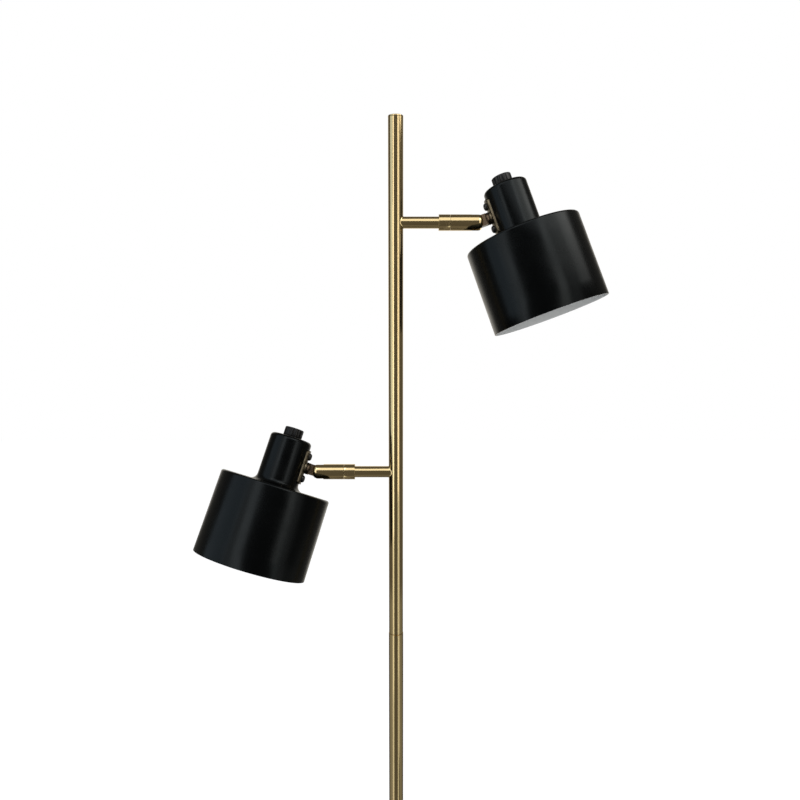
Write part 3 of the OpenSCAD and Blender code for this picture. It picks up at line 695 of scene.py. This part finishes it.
def soften(obj, width, angle=35, segments=2):
    """Breaks the sharp edges by a small radius and shades the faces smooth between them."""
    apply_modifier(
        obj, "BEVEL", width=width, segments=segments, limit_method="ANGLE",
        angle_limit=math.radians(angle), harden_normals=False, use_clamp_overlap=True,
    )
    return smooth(obj)


def smooth(obj, angle=38):
    """Shades the faces smooth where they meet at less than the angle, in degrees."""
    pick(obj)
    bpy.ops.object.shade_smooth_by_angle(angle=math.radians(angle))
    return obj


def put(obj, place, body, slot_name, *nodes):
    """Carries a finished piece to its place in its mesh, hangs it on its body and hides the CAD nodes that it
    stands for.
    """
    obj.data.transform(obj.matrix_world)
    obj.matrix_world = Matrix.Identity(4)
    obj.data.transform(place)
    obj.data.update()
    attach(obj, body)
    if nodes:
        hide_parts(*nodes)
    print(obj.name, len(obj.data.polygons), "faces")
    return obj


# %% [markdown]
# ## The shades
#
# A shade, its top, the fillet and the neck are one disc of sheet metal, pressed over a
# wooden former on a lathe. It could be modelled as a cylinder with an extruded neck, but
# the section line gives every radius its true value: the tight shoulder, the wide fillet
# under the neck and the round edge of the neck's top. Solidify then grows the even wall
# inwards, as sheet has it, and hands the inner faces to the white paint.

# %% Spin the shades
SHOULDER_R = 2.5 * MM
FILLET_R = 7 * MM
NECK_EDGE_R = 4 * MM
TOP_HOLE_R = 5.2 * MM
SKIRT_TAPER = (SHADE_RIM_R - SHADE_TOP_R) / 5


def shade_section():
    """The outer face of the sheet, from the rim up to the hole in the neck's top."""
    line = [(SHADE_RIM_R, 0, -SHADE_H)]
    line += [(SHADE_RIM_R - SKIRT_TAPER, 0, -SHADE_H * 0.8), (SHADE_TOP_R + SKIRT_TAPER, 0, -SHADE_H * 0.2)]
    line += points_on_arc(SHADE_TOP_R - SHOULDER_R, -SHOULDER_R, SHOULDER_R, 0, 90)
    line += points_on_arc(NECK_R + FILLET_R, FILLET_R, FILLET_R, 270, 180, 12)
    line += points_on_arc(NECK_R - NECK_EDGE_R, NECK_H - NECK_EDGE_R, NECK_EDGE_R, 0, 90, 10)
    return line + [(TOP_HOLE_R, 0, NECK_H)]


for side in SIDES:
    shade = turned(side + "_shade_spun", shade_section(), steps=128)
    set_finish(shade, shade_black[side], shade_white[side])
    apply_modifier(
        shade, "SOLIDIFY", thickness=SHADE_WALL, offset=-1, use_even_offset=True,
        material_offset=1, material_offset_rim=0,
    )
    soften(shade, 0.3 * MM, angle=60)
    put(shade, head_frame(side), side + "_head", "shade_paint", side + "_shade")

# %% [markdown]
# ## The switch knobs
#
# The knob is a little moulded cap with fourteen grooves for the fingers and a shallow dish
# on top. It is turned first and then cut: one groove-shaped rod is added, and copied round
# the knob, each copy with its own mesh. Cutting the grooves before the edges are softened
# lets one bevel round every edge alike, as the mould does.

# %% Knobs
KNOB_R = 10.6 * MM
KNOB_H = 10.6 * MM
KNOB_GAP = 0.4 * MM
KNOB_ROUND = 1.1 * MM
FLUTES = 14
FLUTE_R = 1.5 * MM
FLUTE_DEPTH = 0.9 * MM
FLUTE_AT = KNOB_R + FLUTE_R - FLUTE_DEPTH
DISH_DEPTH = 0.35 * MM


def fluted_knob(name):
    """A cap that stands a hair above its seat, with its flutes cut one by one."""
    section = [(0, 0, KNOB_GAP), (KNOB_R, 0, KNOB_GAP)]
    section += points_on_arc(KNOB_R - KNOB_ROUND, KNOB_H - KNOB_ROUND, KNOB_ROUND, 0, 90, 5)
    section += [(KNOB_R * 0.72, 0, KNOB_H), (KNOB_R * 0.66, 0, KNOB_H - DISH_DEPTH)]
    section += [(0, 0, KNOB_H - DISH_DEPTH)]
    knob = turned(name, section, steps=84)
    for i in range(FLUTES):
        a = 2 * math.pi * i / FLUTES
        bpy.ops.object.select_all(action="DESELECT")
        bpy.ops.mesh.primitive_cylinder_add(
            vertices=24, radius=FLUTE_R, depth=3 * KNOB_H,
            location=(FLUTE_AT * math.cos(a), FLUTE_AT * math.sin(a), KNOB_H / 2),
        )
        cut_away(knob, bpy.context.active_object)
    return soften(knob, 0.22 * MM, angle=32)


for side in SIDES:
    knob = fluted_knob(side + "_knob_fluted")
    set_finish(knob, small_finish["black_plastic"])
    place = head_frame(side) @ Matrix.Translation((0, 0, NECK_H))
    put(knob, place, side + "_switch", "black_plastic", side + "_knob")

# %% [markdown]
# ## Collars and barrels
#
# The collar is fixed on the arm and the barrel turns against it, with a hairline gap
# between them that reads as one dark ring. Both are turned from bar. The barrel's nose is
# rounded and then slotted into a fork, so it is turned whole here too and the slot is cut
# with a box, as a saw would do it.

# %% Collars
EDGE = 0.06 * MM
COLLAR_BORE_R = ARM_R + 0.02 * MM
COLLAR_FACE_T = 3 * MM
POST_HOLE_R = 5.05 * MM

for side in SIDES:
    section = [
        (COLLAR_BORE_R, 0, COLLAR_FROM),
        (SWIVEL_R - EDGE, 0, COLLAR_FROM),
        (SWIVEL_R, 0, COLLAR_FROM + EDGE),
        (SWIVEL_R, 0, COLLAR_TO - EDGE),
        (SWIVEL_R - EDGE, 0, COLLAR_TO),
        (POST_HOLE_R, 0, COLLAR_TO),
        (POST_HOLE_R, 0, COLLAR_TO - COLLAR_FACE_T),
        (COLLAR_BORE_R, 0, COLLAR_TO - COLLAR_FACE_T),
        (COLLAR_BORE_R, 0, COLLAR_FROM),
    ]
    collar = turned(side + "_collar_turned", section, steps=72)
    set_finish(collar, arm_brass)
    soften(collar, 0.03 * MM, angle=25)
    put(collar, arm_frame(side) @ ALONG_X, "stand", "brushed_brass", side + "_collar")

# %% Barrels
NOSE_R = 5 * MM
SLOT_W = 8 * MM
SLOT_X = PIN_X - 6.6 * MM
POST_HOLE_DEPTH = 6 * MM
PIVOT_R = 2 * MM
PIVOT_HOLE_END = 7.4 * MM
PIVOT_SEAT = 6.5 * MM
COUNTERBORE_R = 3.65 * MM


def add_box(low, high):
    """A box from its low corner to its high corner."""
    low, high = Vector(low), Vector(high)
    bpy.ops.object.select_all(action="DESELECT")
    bpy.ops.mesh.primitive_cube_add(size=1, location=(low + high) / 2, scale=high - low)
    return bpy.context.active_object


def add_rod(radius, start, end, vertices=40):
    """A plain rod between two points, for cutting."""
    start, end = Vector(start), Vector(end)
    turn = (end - start).to_track_quat("Z", "Y").to_euler()
    bpy.ops.object.select_all(action="DESELECT")
    bpy.ops.mesh.primitive_cylinder_add(
        vertices=vertices, radius=radius, depth=(end - start).length,
        location=(start + end) / 2, rotation=turn,
    )
    return bpy.context.active_object


def across_swivel(radius, start, end, side):
    """A rod along the pivot screw's line, from start to end towards the lamp's back."""
    return add_rod(radius, (PIN_X, start * BACK[side], 0), (PIN_X, end * BACK[side], 0))


for side in SIDES:
    nose = points_on_arc(SWIVEL_R - NOSE_R, BARREL_FROM + BARREL_LEN - NOSE_R, NOSE_R, 0, 90, 14)
    hole_floor = BARREL_FROM + POST_HOLE_DEPTH
    section = [(0, 0, hole_floor), (POST_HOLE_R, 0, hole_floor), (POST_HOLE_R, 0, BARREL_FROM)]
    section += [(SWIVEL_R - EDGE, 0, BARREL_FROM), (SWIVEL_R, 0, BARREL_FROM + EDGE), *nose]
    section += [(0, 0, BARREL_FROM + BARREL_LEN)]
    barrel = turned(side + "_barrel_turned", section, steps=72)
    barrel.data.transform(ALONG_X)
    slot_end = BARREL_FROM + BARREL_LEN + CUT_PAST
    cut_away(barrel, add_box((SLOT_X, -SLOT_W / 2, -CUT_PAST), (slot_end, SLOT_W / 2, CUT_PAST)))
    cut_away(barrel, across_swivel(PIVOT_R, -PIVOT_HOLE_END, PIVOT_SEAT, side))
    cut_away(barrel, across_swivel(COUNTERBORE_R, PIVOT_SEAT, CUT_PAST, side))
    set_finish(barrel, arm_brass)
    soften(barrel, 0.12 * MM, angle=35)
    put(barrel, swivel_frame(side), side + "_swivel", "brushed_brass", side + "_barrel")

# %% [markdown]
# ## Pole and arms
#
# The pole is three lengths of drawn tube whose outer corners are broken, so that each
# seam shows as a fine ring. A tube could be a cylinder primitive, but as a spun section it
# has its true wall and its corners in one step. The arms are tube too, coped to the
# pole: the cut end is made with the pole's own cylinder, as the cutter in the workshop has
# the pole's diameter.

# %% Tubes of the pole
TUBE_BORE_R = 7 * MM
FOOT_Z = 22 * MM
LOW_JOINT_Z = 502 * MM
CAP_T = 1.5 * MM
SEAM_CORNER = 0.4 * MM
SEAM_STEEP = 2
ARM_BORE_R = 5.25 * MM


def tube_section(outer, inner, start, end, corner, steep=1):
    """The closed outline of a tube's wall, to be spun about z. A steep corner is deeper than long."""
    deep = outer - corner * steep
    return [
        (inner, 0, start), (deep, 0, start), (outer, 0, start + corner),
        (outer, 0, end - corner), (deep, 0, end), (inner, 0, end), (inner, 0, start),
    ]


tubes = {
    "bottom_tube": (LOW_TUBE_R, FOOT_Z, LOW_JOINT_Z),
    "middle_tube": (LOW_TUBE_R, LOW_JOINT_Z, TOP_JOINT_Z),
    "top_tube": (POLE_R, TOP_JOINT_Z, TOTAL_H - CAP_T),
}
for node_name, (outer, start, end) in tubes.items():
    section = tube_section(outer, TUBE_BORE_R, start, end, SEAM_CORNER, SEAM_STEEP)
    tube = turned(node_name + "_drawn", section, steps=96)
    if node_name == "top_tube":
        for side in SIDES:
            out = arm_frame(side)
            cut_away(tube, add_rod(ARM_BORE_R, out.translation, out @ Vector((2 * POLE_R, 0, 0))))
    set_finish(tube, pole_brass)
    smooth(tube, 30)
    put(tube, UPRIGHT, "stand", "brushed_brass", node_name)

# %% Pole cap
CAP_ROUND = 0.8 * MM
CAP_CORNER = 0.15 * MM
CAP_PLUG = 10 * MM
CAP_CROWN = 0.05 * MM

section = [(0, 0, -CAP_T - CAP_PLUG), (TUBE_BORE_R, 0, -CAP_T - CAP_PLUG), (TUBE_BORE_R, 0, -CAP_T)]
section += [(POLE_R - CAP_CORNER, 0, -CAP_T), (POLE_R, 0, -CAP_T + CAP_CORNER)]
section += points_on_arc(POLE_R - CAP_ROUND, -CAP_ROUND, CAP_ROUND, 0, 75, 6)
section += [(POLE_R * 0.55, 0, -CAP_CROWN), (0, 0, 0)]
cap = turned("pole_cap_turned", section, steps=96)
set_finish(cap, pole_brass)
smooth(cap, 30)
put(cap, Matrix.Translation((0, 0, TOTAL_H)), "stand", "brushed_brass", "pole_cap")

# %% Arms
ARM_END = 51 * MM

for side in SIDES:
    arm = turned(side + "_arm_coped", tube_section(ARM_R, ARM_BORE_R, 0, ARM_END, LEAST_CORNER), steps=72)
    arm.data.transform(ALONG_X)
    cut_away(arm, add_rod(POLE_R, (0, 0, -2 * POLE_R), (0, 0, 2 * POLE_R), 128))
    set_finish(arm, arm_brass)
    smooth(arm, 30)
    put(arm, arm_frame(side), "stand", "brushed_brass", side + "_arm")

# %% [markdown]
# ## The brazed joints
#
# Where an arm meets the pole, brazing metal has run round the joint and left a small
# hollow fillet. Its edge is a saddle curve, so it can't be spun as it is. It is spun flat,
# as four rings, and pressed onto a copy of the pole with a Shrinkwrap modifier. The inner
# rings are then lifted along the arm, and Solidify gives the skin its body. Each ring has
# its radius and its lift off the pole.

# %% Braze fillets
BRAZE_RINGS = (
    (ARM_R, 0.5 * MM),
    (ARM_R + 0.06 * MM, 0.28 * MM),
    (ARM_R + 0.21 * MM, 0.1 * MM),
    (ARM_R + 0.51 * MM, 0),
)
BRAZE_T = 0.2 * MM
BRAZE_DRAWN_AT = 20 * MM
RING_NEAR = 0.05 * MM


def lift_ring(obj, radius, lift):
    """Moves one ring of points along x."""
    for vertex in obj.data.vertices:
        vertex.select = abs(math.hypot(vertex.co.y, vertex.co.z) - radius) < RING_NEAR
    bpy.ops.object.mode_set(mode="EDIT")
    bpy.ops.transform.translate(value=(lift, 0, 0))
    bpy.ops.object.mode_set(mode="OBJECT")


def braze_fillet(name):
    """A skin from the arm down to the pole, with a little body."""
    fillet = turned(name, [(radius, 0, BRAZE_DRAWN_AT) for radius, lift in BRAZE_RINGS], steps=72)
    fillet.data.transform(fillet.matrix_world)
    fillet.matrix_world = Matrix.Identity(4)
    fillet.data.transform(ALONG_X)
    pole = add_rod(POLE_R, (0, 0, -2 * POLE_R), (0, 0, 2 * POLE_R), 128)
    apply_modifier(
        fillet, "SHRINKWRAP", target=pole, wrap_method="PROJECT", use_project_x=True,
        use_project_y=False, use_project_z=False, use_negative_direction=True, use_positive_direction=False,
    )
    bpy.data.objects.remove(pole)
    pick_none_of("VERT")
    for radius, lift in BRAZE_RINGS[:-1]:
        lift_ring(fillet, radius, lift)
    bpy.ops.object.mode_set(mode="EDIT")
    bpy.ops.mesh.select_all(action="SELECT")
    bpy.ops.mesh.normals_make_consistent(inside=False)
    bpy.ops.object.mode_set(mode="OBJECT")
    apply_modifier(fillet, "SOLIDIFY", thickness=BRAZE_T, offset=-1)
    return smooth(fillet, 60)


for side in SIDES:
    fillet = braze_fillet(side + "_arm_braze")
    set_finish(fillet, arm_brass)
    put(fillet, arm_frame(side), "stand", "brushed_brass")

# %% [markdown]
# ## The bracket on the neck
#
# The saddle plate is a strip pressed to the neck's curve, with a raised flat for the stud.
# A ring with the neck's radius is turned and cut to the strip's outline with a rounded
# block. Two blackened pan-head screws hold it, and between them the stud of the tilt
# knuckle comes out: a tongue with a round eye, a flange, and a washer against the plate.

# %% Saddle plates
SADDLE_T = 2 * MM
SADDLE_BOSS_R = 6.4 * MM
SEAT_R = NECK_R + SADDLE_T + 1 * MM
SADDLE_LEN = 38.4 * MM
SADDLE_W = 16 * MM
SADDLE_CORNER = 3 * MM
SADDLE_SUNK = 0.1 * MM
SCREW_AT = (-12.6 * MM, 12.6 * MM)
SCREW_SEAT_X = 25.2 * MM
SCREW_HOLE_R = 2.2 * MM
SCREW_FLAT_R = 4.3 * MM
STUD_HOLE_R = 4.1 * MM


def rounded_block(low, high, corner):
    """A block whose edges along x are rounded."""
    block = add_box(low, high)
    pick_none_of("EDGE")
    points = block.data.vertices
    for edge in block.data.edges:
        one, other = (points[i].co for i in edge.vertices)
        edge.select = one.x != other.x and one.y == other.y and one.z == other.z
    bpy.ops.object.transform_apply(location=True, rotation=True, scale=True)
    bpy.ops.object.mode_set(mode="EDIT")
    bpy.ops.mesh.bevel(offset=corner, segments=8, affect="EDGES")
    bpy.ops.object.mode_set(mode="OBJECT")
    return block


def saddle_rod(radius, start, end, z, vertices=40):
    """A rod that points out of the neck towards the arm, z above the pin's height."""
    return add_rod(radius, (-start, 0, PIN_RISE + z), (-end, 0, PIN_RISE + z), vertices)


for side in SIDES:
    plate = turned(side + "_saddle_pressed", tube_section(NECK_R + SADDLE_T, NECK_R, 0, NECK_H, 0), steps=180)
    low = (-1.4 * NECK_R, -SADDLE_W / 2, PIN_RISE - SADDLE_LEN / 2)
    high = (-0.8 * NECK_R, SADDLE_W / 2, PIN_RISE + SADDLE_LEN / 2)
    combine(plate, rounded_block(low, high, SADDLE_CORNER), "INTERSECT")
    combine(plate, saddle_rod(SADDLE_BOSS_R, NECK_R + SADDLE_SUNK, SEAT_R, 0, 64), "UNION")
    for z in SCREW_AT:
        cut_away(plate, saddle_rod(SCREW_HOLE_R, NECK_R * 0.8, NECK_R * 1.3, z))
        cut_away(plate, saddle_rod(SCREW_FLAT_R, SCREW_SEAT_X, NECK_R * 1.3, z))
    cut_away(plate, saddle_rod(STUD_HOLE_R, NECK_R * 0.8, NECK_R * 1.3, 0))
    set_finish(plate, small_finish["aged_brass"])
    soften(plate, 0.3 * MM, angle=40)
    put(plate, head_frame(side), side + "_head", "brushed_brass", side + "_saddle_plate")

# %% Saddle screws
HEAD_R = 4 * MM
HEAD_T = 3 * MM
HEAD_ROUND = 2.2 * MM
SCREW_R = 2 * MM
SHANK_LEN = 6.9 * MM
RECESS_DEPTH = 1.5 * MM
RECESS_LONG = 2.2 * MM
RECESS_WIDE = 0.45 * MM


def pan_head_screw(name):
    """A screw that stands with the underside of its head at z = 0."""
    section = [(0, 0, -SHANK_LEN), (SCREW_R, 0, -SHANK_LEN), (SCREW_R, 0, 0), (HEAD_R, 0, 0)]
    section += points_on_arc(HEAD_R - HEAD_ROUND, HEAD_T - HEAD_ROUND, HEAD_ROUND, 0, 90, 8)
    screw = turned(name, section + [(0, 0, HEAD_T)], steps=48)
    for x, y in ((RECESS_LONG, RECESS_WIDE), (RECESS_WIDE, RECESS_LONG)):
        cut_away(screw, add_box((-x, -y, HEAD_T - RECESS_DEPTH), (x, y, 2 * HEAD_T)))
    screw.data.transform(Matrix.Rotation(math.pi / 4, 4, "Z"))
    return soften(screw, 0.12 * MM, angle=40)


for side in SIDES:
    screws = []
    for z in SCREW_AT:
        screw = pan_head_screw(side + "_saddle_screws_turned")
        screw.data.transform(Matrix.Translation((z, 0, SCREW_SEAT_X)))
        screws.append(screw)
    bpy.ops.object.select_all(action="DESELECT")
    for screw in screws:
        screw.select_set(True)
    bpy.context.view_layer.objects.active = screws[0]
    bpy.ops.object.join()
    pair = bpy.context.active_object
    set_finish(pair, small_finish["black_screws"])
    place = head_frame(side) @ TOWARDS_SADDLE
    put(pair, place, side + "_head", "black_screws", side + "_saddle_screws")

# %% Knuckle studs and their washers
TONGUE_LEN = 9.4 * MM
TONGUE_HALF = 3.7 * MM
EYE_R = 6 * MM
EYE_HOLE_R = 2.05 * MM
FLANGE_R = 6.5 * MM
FLANGE_T = 2.7 * MM
FLANGE_CORNER = 0.4 * MM
STUD_R = 4 * MM
STUD_END = 22.3 * MM
LEAD_WAY_R = 2 * MM
LEAD_WAY_X = 7 * MM
WASHER_R = 6.7 * MM
WASHER_FROM = 12.1 * MM
WASHER_T = 1 * MM

for side in SIDES:
    stud = add_rod(EYE_R, (0, -TONGUE_HALF, 0), (0, TONGUE_HALF, 0), 80)
    stud.name = stud.data.name = side + "_knuckle_stud_turned"
    stud.data.transform(stud.matrix_world)
    stud.matrix_world = Matrix.Identity(4)
    combine(stud, add_box((0, -TONGUE_HALF, -EYE_R), (TONGUE_LEN + 0.5 * MM, TONGUE_HALF, EYE_R)), "UNION")
    near, far = TONGUE_LEN, TONGUE_LEN + FLANGE_T
    section = [(0, 0, near), (FLANGE_R - FLANGE_CORNER, 0, near), (FLANGE_R, 0, near + FLANGE_CORNER)]
    section += [(FLANGE_R, 0, far - FLANGE_CORNER), (FLANGE_R - FLANGE_CORNER, 0, far)]
    section += [(STUD_R, 0, far), (STUD_R, 0, STUD_END), (0, 0, STUD_END)]
    flange = turned("flange", section, steps=80)
    flange.data.transform(ALONG_X)
    combine(stud, flange, "UNION")
    cut_away(stud, add_rod(EYE_HOLE_R, (0, -2 * TONGUE_HALF, 0), (0, 2 * TONGUE_HALF, 0)))
    cut_away(stud, add_rod(LEAD_WAY_R, (LEAD_WAY_X, 0, 0), (2 * STUD_END, 0, 0)))
    cut_away(stud, add_rod(LEAD_WAY_R, (LEAD_WAY_X, 0, 0), (LEAD_WAY_X, 0, 2 * EYE_R)))
    set_finish(stud, small_finish["bronze"])
    soften(stud, 0.35 * MM, angle=40)
    put(stud, pin_frame(side), side + "_head", "bronze", side + "_knuckle_stud")
    section = tube_section(WASHER_R, STUD_HOLE_R, WASHER_FROM, WASHER_FROM + WASHER_T, LEAST_CORNER)
    washer = turned(side + "_stud_washer_turned", section, steps=80)
    set_finish(washer, small_finish["dark_bronze_and_gap_shade"])
    smooth(washer, 30)
    put(washer, pin_frame(side) @ ALONG_X, side + "_head", "plain_brass", side + "_stud_washer")

# %% Pivot screws
PIVOT_END = 7.2 * MM
PIVOT_HEAD_R = 3.5 * MM
PIVOT_HEAD_ROUND = 0.5 * MM
PIVOT_TOP = 8.3 * MM
DRIVER_SLOT_DEPTH = 1 * MM
DRIVER_SLOT_HALF = 0.5 * MM

for side in SIDES:
    section = [(0, 0, -PIVOT_END), (PIVOT_R - LEAST_CORNER, 0, -PIVOT_END)]
    section += [(PIVOT_R, 0, -PIVOT_END + LEAST_CORNER), (PIVOT_R, 0, PIVOT_SEAT)]
    section += [(PIVOT_HEAD_R, 0, PIVOT_SEAT)]
    middle = (PIVOT_HEAD_R - PIVOT_HEAD_ROUND, PIVOT_TOP - PIVOT_HEAD_ROUND)
    section += [*points_on_arc(*middle, PIVOT_HEAD_ROUND, 0, 90, 4), (0, 0, PIVOT_TOP)]
    screw = turned(side + "_pivot_screw_turned", section, steps=48)
    slot_low = (-CUT_PAST, -DRIVER_SLOT_HALF, PIVOT_TOP - DRIVER_SLOT_DEPTH)
    cut_away(screw, add_box(slot_low, (CUT_PAST, DRIVER_SLOT_HALF, CUT_PAST)))
    set_finish(screw, arm_brass)
    soften(screw, 0.08 * MM, angle=40)
    across = Matrix.Translation((PIN_X, 0, 0)) @ Matrix.Rotation(-math.pi / 2 * BACK[side], 4, "X")
    put(screw, swivel_frame(side) @ across, side + "_swivel", "brushed_brass", side + "_pivot_screw")

# %% [markdown]
# ## The lampholder
#
# Looking up into a shade, one sees the lampholder's cup with its threaded metal shell. The
# shell is rolled sheet with the coarse round thread of a lamp socket. One wave of the
# thread is drawn and run up by a Screw modifier, the helix's ragged ends are bisected off
# square, and Solidify gives it the sheet's thickness. The cup's wall has
# flat flutes to grip, made by insetting two of every three faces.

# %% Screw shells
THREAD_PITCH = 3.62 * MM
THREAD_WAVES = 8
SHELL_R = 13.2 * MM
THREAD_DEPTH = 0.5 * MM
SHELL_LOW = -10.5 * MM
SHELL_HIGH = 8.9 * MM
SHELL_WALL = 0.4 * MM
WAVE_STEPS = 12


def slice_off(height, keep_above):
    """Cuts all of the mesh with a level plane and drops one side."""
    bpy.ops.mesh.select_all(action="SELECT")
    bpy.ops.mesh.bisect(
        plane_co=(0, 0, height), plane_no=(0, 0, 1), clear_inner=keep_above, clear_outer=not keep_above
    )


def thread_wave():
    """One pitch of the shell's round thread, starting a pitch and a half below its end."""
    turns = [i / WAVE_STEPS for i in range(WAVE_STEPS + 1)]
    out = [SHELL_R + THREAD_DEPTH * math.cos(2 * math.pi * t) for t in turns]
    return [(x, 0, SHELL_LOW + (t - 1.5) * THREAD_PITCH) for x, t in zip(out, turns)]


for side in SIDES:
    shell = draw_line(side + "_socket_shell_rolled", thread_wave())
    bpy.ops.object.mode_set(mode="OBJECT")
    bpy.ops.object.transform_apply(location=True, rotation=True, scale=True)
    apply_modifier(
        shell, "SCREW", axis="Z", angle=2 * math.pi, screw_offset=THREAD_PITCH, iterations=THREAD_WAVES,
        steps=60, render_steps=60, use_merge_vertices=True, merge_threshold=5 * SAME_POINT,
    )
    bpy.ops.object.mode_set(mode="EDIT")
    slice_off(SHELL_LOW, keep_above=True)
    slice_off(SHELL_HIGH, keep_above=False)
    tidy_round(shell)
    apply_modifier(shell, "SOLIDIFY", thickness=SHELL_WALL, offset=0)
    set_finish(shell, small_finish["nickel_brass"])
    smooth(shell, 60)
    put(shell, head_frame(side), side + "_head", "nickel_brass", side + "_socket_shell")

# %% Lampholder cups
CUP_R = 17.5 * MM
CUP_BORE_R = 13.8 * MM
CUP_LOW = -12 * MM
CUP_HIGH = 16 * MM
CUP_CHAMFER = 0.8 * MM
CUP_ROOF = 2 * MM
CUP_FACES = 96
GRIP_LOW = CUP_LOW + 5 * MM
GRIP_HIGH = CUP_HIGH - 4 * MM
GRIP_BORDER = 0.3 * MM
GRIP_DEPTH = 0.5 * MM


def cup_section():
    """The cup's wall and roof, with a stretch between GRIP_LOW and GRIP_HIGH for the flutes."""
    line = [(0, 0, CUP_HIGH - CUP_ROOF), (CUP_BORE_R, 0, CUP_HIGH - CUP_ROOF), (CUP_BORE_R, 0, CUP_LOW)]
    line += [(CUP_R - CUP_CHAMFER, 0, CUP_LOW), (CUP_R, 0, CUP_LOW + CUP_CHAMFER), (CUP_R, 0, GRIP_LOW)]
    line += [(CUP_R, 0, GRIP_HIGH), (CUP_R, 0, CUP_HIGH - CUP_CHAMFER)]
    return line + [(CUP_R - CUP_CHAMFER, 0, CUP_HIGH), (0, 0, CUP_HIGH)]


def sink_flutes(cup):
    """Sets two of every three faces of the grip a little inwards."""
    pick_none_of("FACE")
    for face in cup.data.polygons:
        way = math.atan2(face.center.y, face.center.x) / (2 * math.pi) % 1
        on_grip = GRIP_LOW < face.center.z < GRIP_HIGH
        outside = math.hypot(face.center.x, face.center.y) > (CUP_R + CUP_BORE_R) / 2
        face.select = on_grip and outside and int(way * CUP_FACES) % 3 != 0
    bpy.ops.object.mode_set(mode="EDIT")
    bpy.ops.mesh.inset(thickness=GRIP_BORDER, depth=-GRIP_DEPTH, use_even_offset=True)
    return tidy_round(cup)


for side in SIDES:
    cup = sink_flutes(turned(side + "_socket_body_fluted", cup_section(), steps=CUP_FACES))
    set_finish(cup, small_finish["black_plastic"])
    soften(cup, 0.15 * MM, angle=40)
    put(cup, head_frame(side), side + "_head", "black_plastic", side + "_socket_body")

# %% [markdown]
# ## The base
#
# The cover is spun like the shades, from one disc, and has the same even wall. The foot
# collar is turned brass with a wide soft shoulder, and hides the end of the pole. Beneath
# lies the felt, whose cut edge is a little rounded by wear. At the back a bush lines
# the cord's way out.

# %% Base cover
COVER_WALL = 1.2 * MM
COVER_LOW = 2.5 * MM
COVER_ROUND = 6 * MM
NIPPLE_HOLE_R = 5.3 * MM
BUSH_Z = 8.15 * MM
BUSH_R = 4 * MM

section = [(BASE_R, 0, COVER_LOW)]
section += points_on_arc(BASE_R - COVER_ROUND, BASE_H - COVER_ROUND, COVER_ROUND, 0, 90, 12)
section += [(BASE_R * 0.5, 0, BASE_H), (NIPPLE_HOLE_R, 0, BASE_H)]
cover = turned("base_cover_spun", section, steps=180)
apply_modifier(cover, "SOLIDIFY", thickness=COVER_WALL, offset=-1, use_even_offset=True)
cut_away(cover, add_rod(BUSH_R, (0, BASE_R * 0.9, BUSH_Z), (0, BASE_R * 1.1, BUSH_Z)))
set_finish(cover, base_black)
soften(cover, 0.25 * MM, angle=60)
put(cover, UPRIGHT, "stand", "black_paint", "base_cover")

# %% Foot collar
FOOT_R = 15 * MM
FOOT_H = 9 * MM
FOOT_ROUND = 3.5 * MM
FOOT_CHAMFER = 0.3 * MM
FOOT_BORE_R = LOW_TUBE_R + 0.05 * MM

section = [(NIPPLE_HOLE_R, 0, BASE_H), (FOOT_R, 0, BASE_H)]
section += points_on_arc(FOOT_R - FOOT_ROUND, BASE_H + FOOT_H - FOOT_ROUND, FOOT_ROUND, 0, 90, 12)
section += [(FOOT_BORE_R + FOOT_CHAMFER, 0, BASE_H + FOOT_H)]
section += [(FOOT_BORE_R, 0, BASE_H + FOOT_H - FOOT_CHAMFER), (FOOT_BORE_R, 0, FOOT_Z)]
section += [(NIPPLE_HOLE_R, 0, FOOT_Z), (NIPPLE_HOLE_R, 0, BASE_H)]
foot = turned("foot_collar_turned", section, steps=96)
set_finish(foot, pole_brass)
soften(foot, 0.1 * MM, angle=40)
put(foot, UPRIGHT, "stand", "brushed_brass", "foot_collar")

# %% Felt pad
FELT_R = 120.8 * MM
FELT_T = 2 * MM

section = [(0, 0, 0), (FELT_R * 0.5, 0, 0)]
section += points_on_arc(FELT_R - FELT_T / 2, FELT_T / 2, FELT_T / 2, -90, 90, 8)
section += [(FELT_R * 0.5, 0, FELT_T), (0, 0, FELT_T)]
pad = turned("felt_pad_cut", section, steps=144)
set_finish(pad, small_finish["felt"])
smooth(pad, 50)
put(pad, UPRIGHT, "stand", "felt", "felt_pad")

# %% Cord bush
BUSH_BORE_R = 3 * MM
BUSH_RIM_R = 5 * MM
BUSH_START = BASE_R - 2.6 * MM
BUSH_RIM = BASE_R - 0.3 * MM
BUSH_END = BASE_R + 1.4 * MM
OUTER_ROUND = 0.7 * MM
INNER_ROUND = 0.5 * MM

section = [(BUSH_BORE_R, 0, BUSH_START), (BUSH_R, 0, BUSH_START)]
section += [(BUSH_R, 0, BUSH_RIM), (BUSH_RIM_R, 0, BUSH_RIM)]
section += points_on_arc(BUSH_RIM_R - OUTER_ROUND, BUSH_END - OUTER_ROUND, OUTER_ROUND, 0, 90, 5)
section += points_on_arc(BUSH_BORE_R + INNER_ROUND, BUSH_END - INNER_ROUND, INNER_ROUND, 90, 180, 4)
section += [(BUSH_BORE_R, 0, BUSH_START)]
bush = turned("cord_bush_moulded", section, steps=64)
set_finish(bush, small_finish["black_plastic"])
smooth(bush, 40)
towards_back = Matrix.Translation((0, 0, BUSH_Z)) @ Matrix.Rotation(-math.pi / 2, 4, "X")
put(bush, towards_back, "stand", "black_plastic", "cord_bush")

# %% [markdown]
# ## Measure and finish
#
# The box round every shown piece is measured and printed. The dressed lamp has to stay
# inside the CAD lamp's box.

# %% Sizes and finish
low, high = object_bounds()
print("visual box", [round(v, 4) for v in low], [round(v, 4) for v in high])
